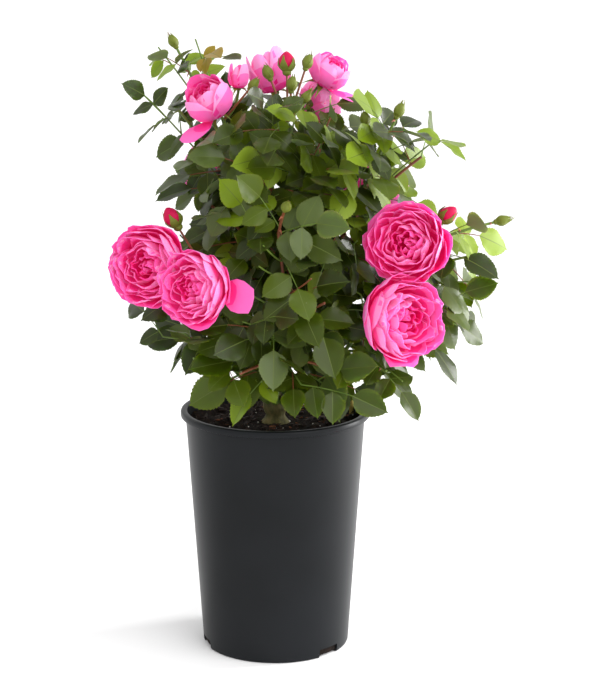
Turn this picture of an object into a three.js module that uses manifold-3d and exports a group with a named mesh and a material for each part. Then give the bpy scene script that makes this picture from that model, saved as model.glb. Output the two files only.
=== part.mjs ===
// A container-grown floribunda rose bush in its tall nursery pot.
// Millimetres, +Z up. The origin is the centre of the pot's flat underside, and -Y is the front.
import * as THREE from "three";
import { mergeVertices } from "three/addons/utils/BufferGeometryUtils.js";
import Module from "manifold-3d";

const wasm = await Module();
wasm.setup();

// ---------------------------------------------------------------- driving sizes

const CLEAR = 0.3; // gap between pieces that touch
const UP = new THREE.Vector3(0, 0, 1);
const LIGHT = new THREE.Vector3(0, -0.32, 0.6); // the way that leaves turn their upper faces
const GOLDEN = Math.PI * (3 - Math.sqrt(5));

const POT = {
  height: 244,
  rimRadius: 95,
  lipHeight: 6.5,
  wallTopRadius: 90,
  baseRadius: 74,
  wall: 1.8,
  floor: 2,
  footRound: 2.4,
  sides: 36,
  notches: 3,
  notchBearing: 47,
  notchHalfAngle: 10,
  notchHeight: 9,
  channelInner: 34,
  drainRadius: 4.5,
};

const SOIL = { level: 230, lump: 2.6, flatRadius: 28, outerRadius: 106, rings: 3, sides: 20 };

// The graft union: a short stem whose flat cut stands on the soil, with a round knuckle that the canes spring from.
const STOCK = { flare: 15, neck: 9, knuckle: 12.5, knuckleHeight: 17, sides: 12 };

// The stub of an old cane, cut off square near the pot's wall.
const STUB = { x: 77, y: 24, radius: 2.4, height: 18 };

// Canes spring from the knuckle. Each is one tapering limb.
const CANE = { baseRadius: 3.5, tipRadius: 2.4, launch: 0.3, sides: 6, steps: 3 };

const CANES = [
  { name: "cane_front", bearing: 0, tip: [6, -40, 292] },
  { name: "cane_top_right", bearing: 45, tip: [42, -14, 346] },
  { name: "cane_right", bearing: 90, tip: [62, -18, 300] },
  { name: "cane_back_right", bearing: 135, tip: [50, 38, 306] },
  { name: "cane_top", bearing: 180, tip: [14, 2, 346] },
  { name: "cane_back_left", bearing: -135, tip: [-42, 38, 306] },
  { name: "cane_top_left", bearing: -90, tip: [-24, -12, 342] },
  { name: "cane_left", bearing: -45, tip: [-46, -36, 300] },
];

// Twigs inside a mass of foliage, from its stem to the stalk of a leaf.
const TWIG = {
  stemRadius: 2.2,
  stemTip: 1.4,
  shootRadius: 1.1,
  shootTip: 0.8,
  footShare: 0.55, // a side shoot's foot is pinched, so that it lies inside its stem
  stemSteps: 4,
  shootSteps: 2,
  reach: 50,
  apart: 12,
};

const FLOWER_STALK = { foot: 0.45, radius: 1.25 };

// A compound leaf at its full size: a stalk, then pairs of leaflets, then one at the end.
const LEAF = {
  stalk: 12,
  pairGap: 20.5,
  leafletLength: 37,
  leafletWidth: 27,
  endShare: 1.12,
  rachisRadius: 0.75,
  rachisFoot: 0.36,
  spreadAngle: 72,
  internode: 17,
  leaderInternode: 10,
  fewest: 3,
  youngAbove: 535,
  youngSize: 0.8,
};

// The crown's reach: an upright shape of oval sections whose share of the full width changes with height.
const CROWN = {
  centre: [38, -6],
  halfWidth: 190,
  halfDepth: 138,
  shares: [
    [250, 0.78],
    [290, 0.9],
    [350, 1],
    [430, 1.05],
    [620, 1.05],
  ],
  top: 612,
};

// A mass of foliage grows on from the tip of a cane. Its stem ends at tip, branches leave it at a share of its length,
// and some end in a bud; side shoots leave it by rule. Size is the share of a full leaf, and no leaf hangs below floor.
const MASSES = [
  {
    name: "foliage_top_left", cane: "cane_top_left", tip: [-48, -14, 528], size: 0.86, shootCount: 8, floor: 340,
    branches: [
      { at: 0.6, tip: [-96, 10, 604], bud: 5.2 },
      { at: 0.5, tip: [-92, -14, 544] },
      { at: 0.4, tip: [-66, -26, 456] },
      { at: 0.25, tip: [-52, 40, 470] },
      { at: 0.1, tip: [-38, -64, 432] },
    ],
  },
  {
    name: "foliage_top", cane: "cane_top", tip: [12, -30, 520], size: 0.9, shootCount: 8, floor: 340,
    branches: [
      { at: 0.25, tip: [26, 58, 508] },
      { at: 0.6, tip: [46, -52, 516] },
      { at: 0.5, tip: [-22, -64, 494] },
    ],
  },
  {
    name: "foliage_top_right", cane: "cane_top_right", tip: [92, -26, 478], size: 0.86, shootCount: 7, floor: 340,
    branches: [
      { at: 0.95, tip: [88, -40, 534], bud: 5.4 },
      { at: 0.82, tip: [118, -24, 540], bud: 5.6 },
      { at: 0.6, tip: [142, -22, 500] },
      { at: 0.3, tip: [104, 14, 430] },
      { at: 0.1, tip: [62, -66, 436] },
    ],
  },
  {
    name: "foliage_left", cane: "cane_left", tip: [-66, -50, 396], size: 0.96, shootCount: 8, floor: 270,
    branches: [
      { at: 0.3, tip: [-96, -36, 350] },
      { at: 0.06, tip: [-78, -66, 310] },
    ],
  },
  {
    name: "foliage_right", cane: "cane_right", tip: [112, -24, 394], size: 0.96, shootCount: 8, floor: 252,
    branches: [
      { at: 0.88, tip: [217, -18, 436], bud: 5.6 },
      { at: 0.7, tip: [188, -22, 402] },
      { at: 0.3, tip: [138, -50, 338] },
      { at: 0.04, tip: [108, -76, 300] },
    ],
  },
  {
    name: "foliage_front", cane: "cane_front", tip: [4, -82, 436], size: 1, shootCount: 8, floor: 250,
    branches: [
      { at: 0.95, tip: [11, -108, 462], bud: 5.2 },
      { at: 0.04, tip: [58, -94, 304] },
      { at: 0.03, tip: [-32, -96, 302] },
      { at: 0.3, tip: [48, -102, 372] },
    ],
  },
  {
    name: "foliage_back_left", cane: "cane_back_left", tip: [-52, 76, 440], size: 1, shootCount: 9, floor: 280,
    branches: [{ at: 0.25, tip: [-104, 46, 358] }],
  },
  {
    name: "foliage_back_right", cane: "cane_back_right", tip: [84, 72, 420], size: 1, shootCount: 9, floor: 280,
    branches: [{ at: 0.25, tip: [124, 44, 340] }],
  },
];

// Flower sprays: a stalk that grows on from a mass's stem, with its blooms and buds.
const SPRAYS = [
  {
    name: "flowers_left", mass: "foliage_left", fork: [-72, -58, 404],
    blooms: [
      { at: [-121, -72, 402], facing: [-0.4, -0.9, 0.12], radius: 40 },
      { at: [-76, -104, 388], facing: [-0.5, -0.82, 0.1], radius: 37 },
    ],
    buds: [{ at: [-97, -58, 446], radius: 9 }],
  },
  {
    name: "flowers_right", mass: "foliage_right", fork: [122, -36, 404],
    blooms: [
      { at: [125, -84, 426], facing: [-0.22, -0.93, 0.25], radius: 39 },
      { at: [124, -102, 356], facing: [0.55, -0.8, 0.12], radius: 42 },
    ],
    buds: [{ at: [167, -40, 446], radius: 8.5 }],
  },
  {
    name: "flowers_top_left", mass: "foliage_top_left", fork: [-48, -16, 536],
    blooms: [
      { at: [-64, -26, 557], facing: [-0.42, -0.5, 0.75], radius: 30 },
      { at: [-34, -14, 574], facing: [0.05, -0.1, 1], radius: 13 },
    ],
    buds: [{ at: [-20, -26, 570], radius: 5 }],
  },
  {
    name: "flowers_top", mass: "foliage_top", fork: [13, -24, 534],
    blooms: [
      { at: [-4, 26, 574], facing: [-0.3, 0.1, 0.95], radius: 26 },
      { at: [54, 16, 580], facing: [0.55, -0.25, 0.8], radius: 26 },
      { at: [46, 40, 546], facing: [0.7, 0.55, 0.2], radius: 25 },
    ],
    buds: [
      { at: [-6, -15, 580], radius: 5.6 },
      { at: [12, -12, 590], radius: 8.4 },
      { at: [17, -26, 570], radius: 5.6 },
      { at: [32, -12, 590], radius: 5.6 },
      { at: [30, -30, 558], radius: 5.2 },
    ],
  },
  {
    name: "flowers_back_left", mass: "foliage_back_left", fork: [-54, 82, 450],
    blooms: [{ at: [-62, 106, 470], facing: [-0.35, 0.85, 0.4], radius: 36 }],
    buds: [{ at: [-30, 98, 488], radius: 6 }],
  },
  {
    name: "flowers_back_right", mass: "foliage_back_right", fork: [88, 78, 430],
    blooms: [{ at: [104, 104, 446], facing: [0.45, 0.8, 0.4], radius: 37 }],
    buds: [],
  },
];

const COLOURS = {
  pot: { color: 0x2f3235, roughness: 0.45 },
  soil: { color: 0x21150f, roughness: 1 },
  bark: { color: 0x6d7a3a, roughness: 0.7 },
  leaf: { color: 0x3f6125, roughness: 0.5 },
  petal: { color: 0xf0409a, roughness: 0.6 },
};

// ---------------------------------------------------------------- small helpers

const V = (p) => new THREE.Vector3(...p);
const along = (a, b, t) => a.clone().lerp(b, t);
const plus = (a, direction, distance) => a.clone().addScaledVector(direction, distance);
const radians = THREE.MathUtils.degToRad;

// A repeatable number from 0 to 1 for each seed, index and use.
function chance(seed, index, use) {
  let h = (Math.imul(seed, 374761393) + Math.imul(index, 668265263) + Math.imul(use, 1274126177)) | 0;
  h = Math.imul(h ^ (h >>> 15), 2246822519);
  h = Math.imul(h ^ (h >>> 13), 3266489917);
  return ((h ^ (h >>> 16)) >>> 0) / 4294967296;
}
const spread = (seed, index, use) => 2 * chance(seed, index, use) - 1;

// A unit vector from the plant's axis out through a point, level with it.
function outwards(p) {
  const out = new THREE.Vector3(p.x, p.y, 0);
  return out.lengthSq() < 1 ? new THREE.Vector3(0, -1, 0) : out.normalize();
}

// The part of vector n that is square to the unit vector d, at unit length.
function squareTo(n, d) {
  const left = plus(n, d, -n.dot(d));
  return left.lengthSq() < 1e-6 ? new THREE.Vector3(1, 0, 0).cross(d).normalize() : left.normalize();
}

// A stem's centre line: a quadratic Bezier that leaves its start along a direction, for a share of its length.
function stemCurve(start, direction, launch, end) {
  return new THREE.QuadraticBezierCurve3(start, plus(start, direction, launch * start.distanceTo(end)), end);
}

// Points along a stem. One lies close to each end, so that the end faces stand square to the stem.
function stemPoints(curve, steps) {
  const points = curve.getPoints(steps);
  points.splice(1, 0, plus(points[0], curve.getTangent(0), 2));
  points.splice(-1, 0, plus(points.at(-1), curve.getTangent(1), -2));
  return points;
}

function distanceToSegment(p, a, b) {
  const ab = b.clone().sub(a);
  const share = THREE.MathUtils.clamp(p.clone().sub(a).dot(ab) / Math.max(ab.lengthSq(), 1e-9), 0, 1);
  return p.distanceTo(plus(a, ab, share));
}

// ---------------------------------------------------------------- solids

// A manifold-3d solid from a closed three.js geometry.
function solid(geometry) {
  const bare = new THREE.BufferGeometry().setAttribute("position", geometry.getAttribute("position"));
  if (geometry.index) bare.setIndex(geometry.index);
  const merged = mergeVertices(bare, 1e-4);
  return new wasm.Manifold(
    new wasm.Mesh({
      numProp: 3,
      vertProperties: new Float32Array(merged.attributes.position.array),
      triVerts: new Uint32Array(merged.index.array),
    }),
  );
}

function geometryOf(made) {
  const mesh = made.getMesh();
  return new THREE.BufferGeometry()
    .setAttribute("position", new THREE.BufferAttribute(new Float32Array(mesh.vertProperties), 3))
    .setIndex(new THREE.BufferAttribute(new Uint32Array(mesh.triVerts), 1));
}

// A closed solid from points and faces that are listed anticlockwise from outside.
function facets(points, faces) {
  const geometry = new THREE.BufferGeometry()
    .setAttribute("position", new THREE.Float32BufferAttribute(points.flatMap((p) => p.toArray()), 3))
    .setIndex(faces.flat());
  return solid(geometry);
}

// A tapering limb of flat facets round a line of points.
function limbSolid(points, radii, sides, up = UP) {
  const rings = points.map((p, i) => {
    const ahead = points[Math.min(i + 1, points.length - 1)];
    const behind = points[Math.max(i - 1, 0)];
    const axis = ahead.clone().sub(behind).normalize();
    const reference = Math.abs(axis.dot(up)) > 0.9 ? new THREE.Vector3(1, 0, 0) : up;
    const side = squareTo(reference, axis);
    const other = axis.clone().cross(side);
    return Array.from({ length: sides }, (_, k) => {
      const angle = (2 * Math.PI * k) / sides;
      return plus(plus(p, side, radii[i] * Math.cos(angle)), other, radii[i] * Math.sin(angle));
    });
  });
  // Each ring starts at the corner nearest to the last ring's first corner, so that no facet twists.
  for (let i = 1; i < rings.length; i += 1) {
    const target = plus(rings[i - 1][0], points[i].clone().sub(points[i - 1]), 1);
    const nearest = rings[i].reduce((best, p, k) => (p.distanceTo(target) < rings[i][best].distanceTo(target) ? k : best), 0);
    rings[i] = [...rings[i].slice(nearest), ...rings[i].slice(0, nearest)];
  }
  const faces = [];
  for (let k = 1; k < sides - 1; k += 1) {
    const last = (rings.length - 1) * sides;
    faces.push([0, k + 1, k], [last, last + k, last + k + 1]);
  }
  for (let i = 0; i < rings.length - 1; i += 1) {
    for (let k = 0; k < sides; k += 1) {
      const next = (k + 1) % sides;
      const [a, b, c, d] = [i * sides + k, i * sides + next, (i + 1) * sides + k, (i + 1) * sides + next];
      faces.push([a, b, d], [a, d, c]);
    }
  }
  return facets(rings.flat(), faces);
}

// The surface that a profile of [radius, height] sweeps about +Z. The profile runs from its lowest point to its highest.
function latheSurface(profile, sides) {
  const surface = new THREE.LatheGeometry(profile.map(([r, z]) => new THREE.Vector2(r, z)), sides);
  return surface.rotateX(Math.PI / 2);
}

const lathe = (profile, sides) => solid(latheSurface(profile, sides));

// ---------------------------------------------------------------- pot, soil, foot

const bearingPoint = (degrees, radius, z) =>
  new THREE.Vector3(radius * Math.sin(radians(degrees)), -radius * Math.cos(radians(degrees)), z);

// A block that spans one drain channel, from near the pot's centre out past its wall.
function channelBlock(index, grow, bottom, top) {
  const bearing = POT.notchBearing + (360 / POT.notches) * index;
  const half = Math.tan(radians(POT.notchHalfAngle));
  const shape = new THREE.Shape(
    [
      [POT.channelInner - grow, -1],
      [POT.baseRadius + 8, -1],
      [POT.baseRadius + 8, 1],
      [POT.channelInner - grow, 1],
    ].map(([r, side]) => new THREE.Vector2(r, side * (r * half + grow))),
  );
  const block = new THREE.ExtrudeGeometry(shape, { depth: top - bottom, bevelEnabled: false });
  block.translate(0, 0, bottom);
  block.rotateZ(radians(bearing - 90));
  return solid(block);
}

function potCavity(inset) {
  const { height, baseRadius, wallTopRadius, wall, floor } = POT;
  const cavity = lathe(
    [
      [0, floor + inset],
      [baseRadius - wall - inset, floor + inset],
      [wallTopRadius - wall - inset, height + 5],
      [0, height + 5],
    ],
    POT.sides,
  );
  const ribs = Array.from({ length: POT.notches }, (_, i) =>
    channelBlock(i, floor + inset, -1, POT.notchHeight + floor + inset),
  );
  return wasm.Manifold.difference([cavity, ...ribs]);
}

function potSolid() {
  const { height, rimRadius, lipHeight, wallTopRadius, baseRadius, footRound } = POT;
  const outside = lathe(
    [
      [0, 0],
      [baseRadius - footRound, 0],
      [baseRadius, footRound],
      [wallTopRadius, height - lipHeight],
      [rimRadius - 0.8, height - lipHeight],
      [rimRadius, height - lipHeight + 1.2],
      [rimRadius, height - 2.4],
      [rimRadius - 2.2, height],
      [0, height],
    ],
    POT.sides,
  );
  const channels = Array.from({ length: POT.notches }, (_, i) => channelBlock(i, 0, -1, POT.notchHeight));
  const drains = Array.from({ length: POT.notches }, (_, i) => {
    const drain = new THREE.CylinderGeometry(POT.drainRadius, POT.drainRadius, 3 * POT.notchHeight, 10);
    drain.rotateX(Math.PI / 2);
    const bearing = POT.notchBearing + (360 / POT.notches) * i;
    drain.translate(...bearingPoint(bearing, POT.baseRadius - 16, POT.notchHeight).toArray());
    return solid(drain);
  });
  return wasm.Manifold.difference([outside, potCavity(0), ...channels, ...drains]);
}

function soilHeight(x, y) {
  const r = Math.hypot(x, y);
  const quiet = THREE.MathUtils.smoothstep(r, SOIL.flatRadius, SOIL.flatRadius + 16);
  const lumps = Math.sin(x * 0.11 + 1.3) * Math.cos(y * 0.13 - 0.4) + 0.6 * Math.sin(x * 0.23 - y * 0.19);
  return SOIL.level + SOIL.lump * quiet * lumps;
}

function soilSolid() {
  const { level, outerRadius, flatRadius, rings } = SOIL;
  const top = Array.from({ length: rings }, (_, i) => [THREE.MathUtils.lerp(outerRadius, flatRadius, i / (rings - 1)), level]);
  const plug = [[0, POT.floor + CLEAR], [POT.baseRadius, POT.floor + CLEAR], [outerRadius, level - 16], ...top, [0, level]];
  const geometry = latheSurface(plug, SOIL.sides);
  const position = geometry.getAttribute("position");
  for (let i = 0; i < position.count; i += 1) {
    if (position.getZ(i) > SOIL.level - 1) position.setZ(i, soilHeight(position.getX(i), position.getY(i)));
  }
  return solid(geometry).intersect(potCavity(CLEAR));
}

const KNUCKLE = new THREE.Vector3(0, 0, SOIL.level + CLEAR + STOCK.knuckleHeight);

function stockSolid() {
  const ground = SOIL.level + CLEAR;
  const { flare, neck, knuckle, sides } = STOCK;
  const profile = [
    [0, ground],
    [flare, ground],
    [flare * 0.72, ground + 3.5],
    [neck, ground + 7],
  ];
  for (let angle = -30; angle <= 90; angle += 24) {
    profile.push([knuckle * Math.cos(radians(angle)), KNUCKLE.z + knuckle * Math.sin(radians(angle))]);
  }
  profile[profile.length - 1][0] = 0;
  return lathe(profile, sides);
}

// ---------------------------------------------------------------- limbs

const limbs = new Map();

function addLimb(name, curve, sizes) {
  const points = stemPoints(curve, sizes.steps);
  const last = points.length - 1;
  const radii = points.map((_, i) => THREE.MathUtils.lerp(sizes.baseRadius, sizes.tipRadius, i / last));
  limbs.set(name, { curve, points, radii, sides: sizes.sides });
}

for (const { name, bearing, tip } of CANES) {
  const launch = bearingPoint(bearing, 1, 0.62).normalize();
  const foot = plus(KNUCKLE, launch, STOCK.knuckle + CLEAR);
  addLimb(name, stemCurve(foot, launch, CANE.launch, V(tip)), CANE);
}

// ---------------------------------------------------------------- growth rule

// The stem of each mass, which grows on from its limb.
function growStem(mass) {
  const limb = limbs.get(mass.cane).curve;
  const heading = limb.getTangent(1);
  const curve = stemCurve(plus(limb.getPoint(1), heading, CLEAR), heading, 0.4, V(mass.tip));
  return { curve, points: stemPoints(curve, TWIG.stemSteps), stem: true };
}

function growBranch(stem, { at, tip, bud }) {
  const root = stem.curve.getPoint(at);
  const curve = stemCurve(root, stem.curve.getTangent(at), 0.3, V(tip));
  return { curve, points: curve.getPoints(TWIG.stemSteps - 1), bud };
}

// A side shoot: the first of a few turns about the stem that keeps clear of every limb and every other stem.
function growShoot(mass, stem, index) {
  const at = 0.15 + (0.85 * (index + 0.5)) / mass.shootCount;
  const root = stem.curve.getPoint(at);
  const axis = stem.curve.getTangent(at);
  const side = squareTo(outwards(root), axis);
  const other = axis.clone().cross(side);
  const length = TWIG.reach * (0.75 + 0.5 * chance(mass.seed, index, 2));
  for (const turn of SHOOT_TURNS) {
    const angle = GOLDEN * index + turn + mass.seed;
    const radial = side.clone().multiplyScalar(Math.cos(angle)).addScaledVector(other, Math.sin(angle));
    const direction = axis.clone().multiplyScalar(0.5).addScaledVector(radial, 0.86).normalize();
    const curve = stemCurve(root, direction, 0.5, plus(plus(root, direction, length), UP, 0.12 * length));
    const points = curve.getPoints(TWIG.shootSteps);
    const others = mass.shoots.filter((grown) => grown !== stem);
    const clear = curve.getPoints(6).slice(1).every((p) => {
      if (!free(p, mass) || !inSpace(mass, p, TWIG.shootRadius + SPACE_MARGIN)) return false;
      return others.every((grown) => lineDistance(p, grown.points) > TWIG.apart);
    });
    if (clear) return { curve, points };
  }
  return null;
}

// The direction that leans away from an axis by an angle in degrees, towards a vector square to it.
function leanOut(axis, radial, degrees) {
  return axis.clone().multiplyScalar(Math.cos(radians(degrees))).addScaledVector(radial, Math.sin(radians(degrees)));
}

// One compound leaf: its stalk's line and the places of its leaflets.
function compoundLeaf(root, start, size, pairs, seed, index) {
  const out = outwards(root);
  const droop = 0.3 + 0.5 * chance(seed, index, 4);
  const stalk = LEAF.stalk * size * (0.85 + 0.3 * chance(seed, index, 5));
  const gap = LEAF.pairGap * size;
  const onward = plus(start, UP, -droop).normalize();
  const first = plus(root, onward, stalk);
  const end = plus(first, onward, gap * pairs);
  const stray = new THREE.Vector3(spread(seed, index, 6), spread(seed, index, 9), 0);
  const face = LIGHT.clone().addScaledVector(out, 0.6).addScaledVector(stray, 0.35);
  const leaflets = [];
  const addLeaflet = (base, direction, share, use) => {
    const normal = squareTo(face, direction);
    const roll = 0.42 * spread(seed, index, use);
    const side = direction.clone().cross(normal);
    const turned = normal.multiplyScalar(Math.cos(roll)).addScaledVector(side, Math.sin(roll));
    const grown = size * share * (0.9 + 0.2 * chance(seed, index, use + 20));
    leaflets.push({ base, direction, normal: turned, length: LEAF.leafletLength * grown, width: LEAF.leafletWidth * grown });
  };
  addLeaflet(end, plus(onward, UP, -0.25).normalize(), LEAF.endShare, 7);
  for (let pair = 0; pair < pairs; pair += 1) {
    const joint = plus(first, onward, gap * pair);
    const normal = squareTo(face, onward);
    const side = onward.clone().cross(normal);
    for (const hand of [-1, 1]) {
      const angle = radians(LEAF.spreadAngle + 9 * spread(seed, index, 8 + 2 * pair + hand));
      const direction = onward
        .clone()
        .multiplyScalar(Math.cos(angle))
        .addScaledVector(side, hand * Math.sin(angle))
        .addScaledVector(UP, -0.12)
        .normalize();
      addLeaflet(joint, direction, pairs === 1 ? 0.86 : 0.78 + 0.14 * pair, 10 + 2 * pair + (hand + 1) / 2);
    }
  }
  return { root, end, leaflets, up: squareTo(face, onward) };
}

// The points that a leaflet is tested at: along its midrib, then round its outline.
function leafletPoints({ base, direction, normal, length, width }) {
  const side = direction.clone().cross(normal);
  return [
    [0.12, 0],
    [0.5, 0],
    [1, 0],
    [0.3, 0.47],
    [0.3, -0.47],
    [0.7, 0.4],
    [0.7, -0.4],
  ].map(([l, w]) => plus(plus(base, direction, l * length), side, w * width));
}

// True where a point lies inside a leaflet's oval, or closer to it than the clearance.
function touches({ base, direction, normal, length, width }, p, clearance) {
  const from = p.clone().sub(base);
  if (Math.abs(from.dot(normal)) > clearance) return false;
  const l = (from.dot(direction) - length / 2) / (length / 2 + clearance);
  const w = from.dot(direction.clone().cross(normal)) / (width / 2 + clearance);
  return l * l + w * w < 1;
}

function lineDistance(p, line) {
  let best = Infinity;
  for (let i = 0; i < line.length - 1; i += 1) best = Math.min(best, distanceToSegment(p, line[i], line[i + 1]));
  return best;
}

const stemDistance = (mass, p) => Math.min(...mass.spines.map((line) => lineDistance(p, line)));

// A mass's space is all that lies nearer to its own stem and leaders than to any other's, less a margin on each side.
function inSpace(mass, p, margin) {
  const own = stemDistance(mass, p);
  return masses.every((other) => other === mass || stemDistance(other, p) > own + 2 * margin);
}

// The share of the crown's full width at a height.
function crownShare(z) {
  const { shares } = CROWN;
  const i = Math.max(1, shares.findIndex(([height]) => height > z));
  const [[lowZ, low], [highZ, high]] = [shares[i - 1], shares[i]];
  return THREE.MathUtils.lerp(low, high, THREE.MathUtils.clamp((z - lowZ) / (highZ - lowZ), 0, 1));
}

function inCrown(p) {
  const share = crownShare(p.z);
  const across = (p.x - CROWN.centre[0]) / (CROWN.halfWidth * share);
  const deep = (p.y - CROWN.centre[1]) / (CROWN.halfDepth * share);
  return across * across + deep * deep < 1;
}

const masses = MASSES.map((mass, i) => ({ ...mass, seed: i + 11, shoots: [], leaves: [] }));
for (const mass of masses) {
  const stem = growStem(mass);
  mass.shoots.push(stem, ...mass.branches.map((branch) => growBranch(stem, branch)));
  mass.spines = mass.shoots.map(({ points }) => points);
}

// ---------------------------------------------------------------- flowers

const sprays = SPRAYS.map((spray) => {
  const stem = masses.find(({ name }) => name === spray.mass).shoots[0].curve;
  const heading = stem.getTangent(1);
  const start = plus(stem.getPoint(1), heading, CLEAR);
  const fork = V(spray.fork);
  const heads = [
    ...spray.blooms.map(({ at, facing, radius }) => ({ bloom: true, at: V(at), facing: V(facing).normalize(), radius })),
    ...spray.buds.map(({ at, radius }) => ({ bloom: false, at: V(at), facing: V(at).sub(fork).normalize(), radius })),
  ];
  for (const head of heads) {
    const neck = plus(head.at, head.facing, (head.bloom ? -0.6 : -1.2) * head.radius);
    const launch = neck.clone().sub(fork).normalize().addScaledVector(head.facing, -0.7).normalize();
    head.stalk = stemCurve(fork, launch, 0.45, neck).getPoints(2);
  }
  return { ...spray, stalk: stemPoints(stemCurve(start, heading, 0.4, fork), 2), heads };
});

// ---------------------------------------------------------------- what a leaf must not touch

const SPACE_MARGIN = 0.7;
const LIMB_CLEAR = 2;
const BLOOM_CLEAR = 5;
const TWIG_CLEAR = 0.5;
const LEAF_CLEAR = 16;
const LEAF_GAP = 0.8;

// Limbs, stalks and twigs as strings of balls, and blooms and buds as one ball each, all with their clearance.
const obstacles = [];
const addBall = (at, radius) => obstacles.push({ at, radius });
function addRod(points, radius) {
  for (let i = 0; i < points.length - 1; i += 1) {
    const count = Math.ceil(points[i].distanceTo(points[i + 1]) / 3);
    for (let k = 0; k <= count; k += 1) addBall(along(points[i], points[i + 1], k / count), radius);
  }
}
for (const { points, radii } of limbs.values()) addRod(points, LIMB_CLEAR + radii[0]);
const stubFoot = new THREE.Vector3(STUB.x, STUB.y, soilHeight(STUB.x, STUB.y) + 2);
addRod([stubFoot, plus(stubFoot, UP, STUB.height)], LIMB_CLEAR + STUB.radius);
const blooms = sprays.flatMap(({ heads }) => heads.filter(({ bloom }) => bloom));
for (const { stalk, heads } of sprays) {
  addRod(stalk, LIMB_CLEAR + TWIG.stemTip);
  for (const head of heads) {
    addRod(head.stalk, LIMB_CLEAR + FLOWER_STALK.radius);
    if (!head.bloom) addBall(head.at, LIMB_CLEAR + head.radius * 1.5);
  }
}
for (const { curve, bud } of masses.flatMap(({ shoots }) => shoots)) {
  if (bud) addBall(curve.getPoint(1), LIMB_CLEAR + bud * 2);
}

// True where a point lies inside a bloom or close to it: a cup that narrows behind to its stalk.
function inBloom({ at, facing, radius }, p) {
  const from = p.clone().sub(at);
  const ahead = from.dot(facing);
  const aside = Math.sqrt(Math.max(0, from.lengthSq() - ahead * ahead));
  if (ahead < -0.7 * radius - BLOOM_CLEAR || ahead > 0.45 * radius + BLOOM_CLEAR) return false;
  return aside < radius * Math.min(1, 1 + (0.8 * ahead) / radius) + BLOOM_CLEAR;
}

// A point is free if it lies in the crown, above its mass's floor, and clear of every obstacle, of the pot and of the soil.
function free(p, mass) {
  if (p.z < mass.floor || p.z > CROWN.top || !inCrown(p)) return false;
  if (obstacles.some(({ at, radius }) => p.distanceTo(at) < radius)) return false;
  if (blooms.some((bloom) => inBloom(bloom, p))) return false;
  const reach = Math.hypot(p.x, p.y);
  return p.z > POT.height + 4 || reach > POT.rimRadius + 4;
}

const SHOOT_TURNS = [0, 0.6, -0.6, 1.2, -1.2, 1.9, -1.9, 2.7];
for (const mass of masses) {
  for (let k = 0; k < mass.shootCount; k += 1) {
    const grown = growShoot(mass, mass.shoots[0], k);
    if (grown) mass.shoots.push(grown);
  }
}
for (const { points } of masses.flatMap(({ shoots }) => shoots)) addRod(points, TWIG_CLEAR + TWIG.shootRadius);

const placed = [];

// True where a leaflet cuts into one that is already placed, or hides it.
function crowded(leaflet, points) {
  return placed.some((other) => {
    if (other.leaflet.base.distanceTo(leaflet.base) > 3 * LEAF.leafletLength) return false;
    if (points.some((p) => touches(other.leaflet, p, LEAF_GAP))) return true;
    if (other.points.some((p) => touches(leaflet, p, LEAF_GAP))) return true;
    return points.slice(0, 3).some((p, i) => p.distanceTo(other.points[i]) < LEAF_CLEAR);
  });
}

function leafletFits(mass, leaflet) {
  const points = leafletPoints(leaflet);
  if (crowded(leaflet, points)) return false;
  if (!points.every((p) => free(p, mass) && inSpace(mass, p, SPACE_MARGIN))) return false;
  return !obstacles.some(({ at, radius }) => touches(leaflet, at, radius));
}

// The leaf's leaflets that fit. It has none where its stalk or its end leaflet doesn't.
function fittingLeaflets(mass, { root, end, leaflets }) {
  const stalk = [0.25, 0.5, 0.75, 1].map((share) => along(root, end, share));
  if (!stalk.every((p) => free(p, mass) && inSpace(mass, p, LEAF.rachisRadius + SPACE_MARGIN))) return [];
  return leafletFits(mass, leaflets[0]) ? leaflets.filter((leaflet) => leafletFits(mass, leaflet)) : [];
}

// The ways that a leaf may be tried: pairs of leaflets, its angle to the shoot, and its turn about the shoot.
const LEAF_TRIALS = [2, 1].flatMap((pairs) =>
  [52, 30, 74].flatMap((lean) => [0, 0.8, -0.8, 1.6, -1.6, 2.4, -2.4].map((turn) => ({ pairs, lean, turn }))),
);

function growLeaves(mass) {
  let index = 0;
  mass.shoots.forEach(({ curve, bud }, order) => {
    const internode = bud ? LEAF.leaderInternode : LEAF.internode;
    const count = Math.max(2, Math.round(curve.getLength() / internode));
    for (let k = 0; k < count; k += 1) {
      index += 1;
      const at = (order === 0 ? 0.12 : 0.3) + ((order === 0 ? 0.86 : 0.7) * k) / (count - 1);
      const root = curve.getPoint(at);
      const axis = curve.getTangent(at);
      const young = root.z > LEAF.youngAbove ? LEAF.youngSize : 1;
      const size = young * mass.size * (0.84 + 0.26 * chance(mass.seed, index, 30));
      const side = squareTo(outwards(root), axis);
      const other = axis.clone().cross(side);
      // Of all the trials, the first that fits the most leaflets.
      let best = { leaflets: [] };
      for (const { pairs, lean, turn } of LEAF_TRIALS) {
        const angle = GOLDEN * index + turn;
        const radial = side.clone().multiplyScalar(Math.cos(angle)).addScaledVector(other, Math.sin(angle));
        const leaf = compoundLeaf(root, leanOut(axis, radial, lean), size, pairs, mass.seed, index);
        const leaflets = fittingLeaflets(mass, leaf);
        if (leaflets.length > best.leaflets.length) best = { ...leaf, leaflets };
      }
      if (best.leaflets.length < LEAF.fewest) continue;
      mass.leaves.push(best);
      for (const leaflet of best.leaflets) placed.push({ leaflet, points: leafletPoints(leaflet) });
    }
  });
}
masses.forEach(growLeaves);

// ---------------------------------------------------------------- solids of the plant

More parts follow.
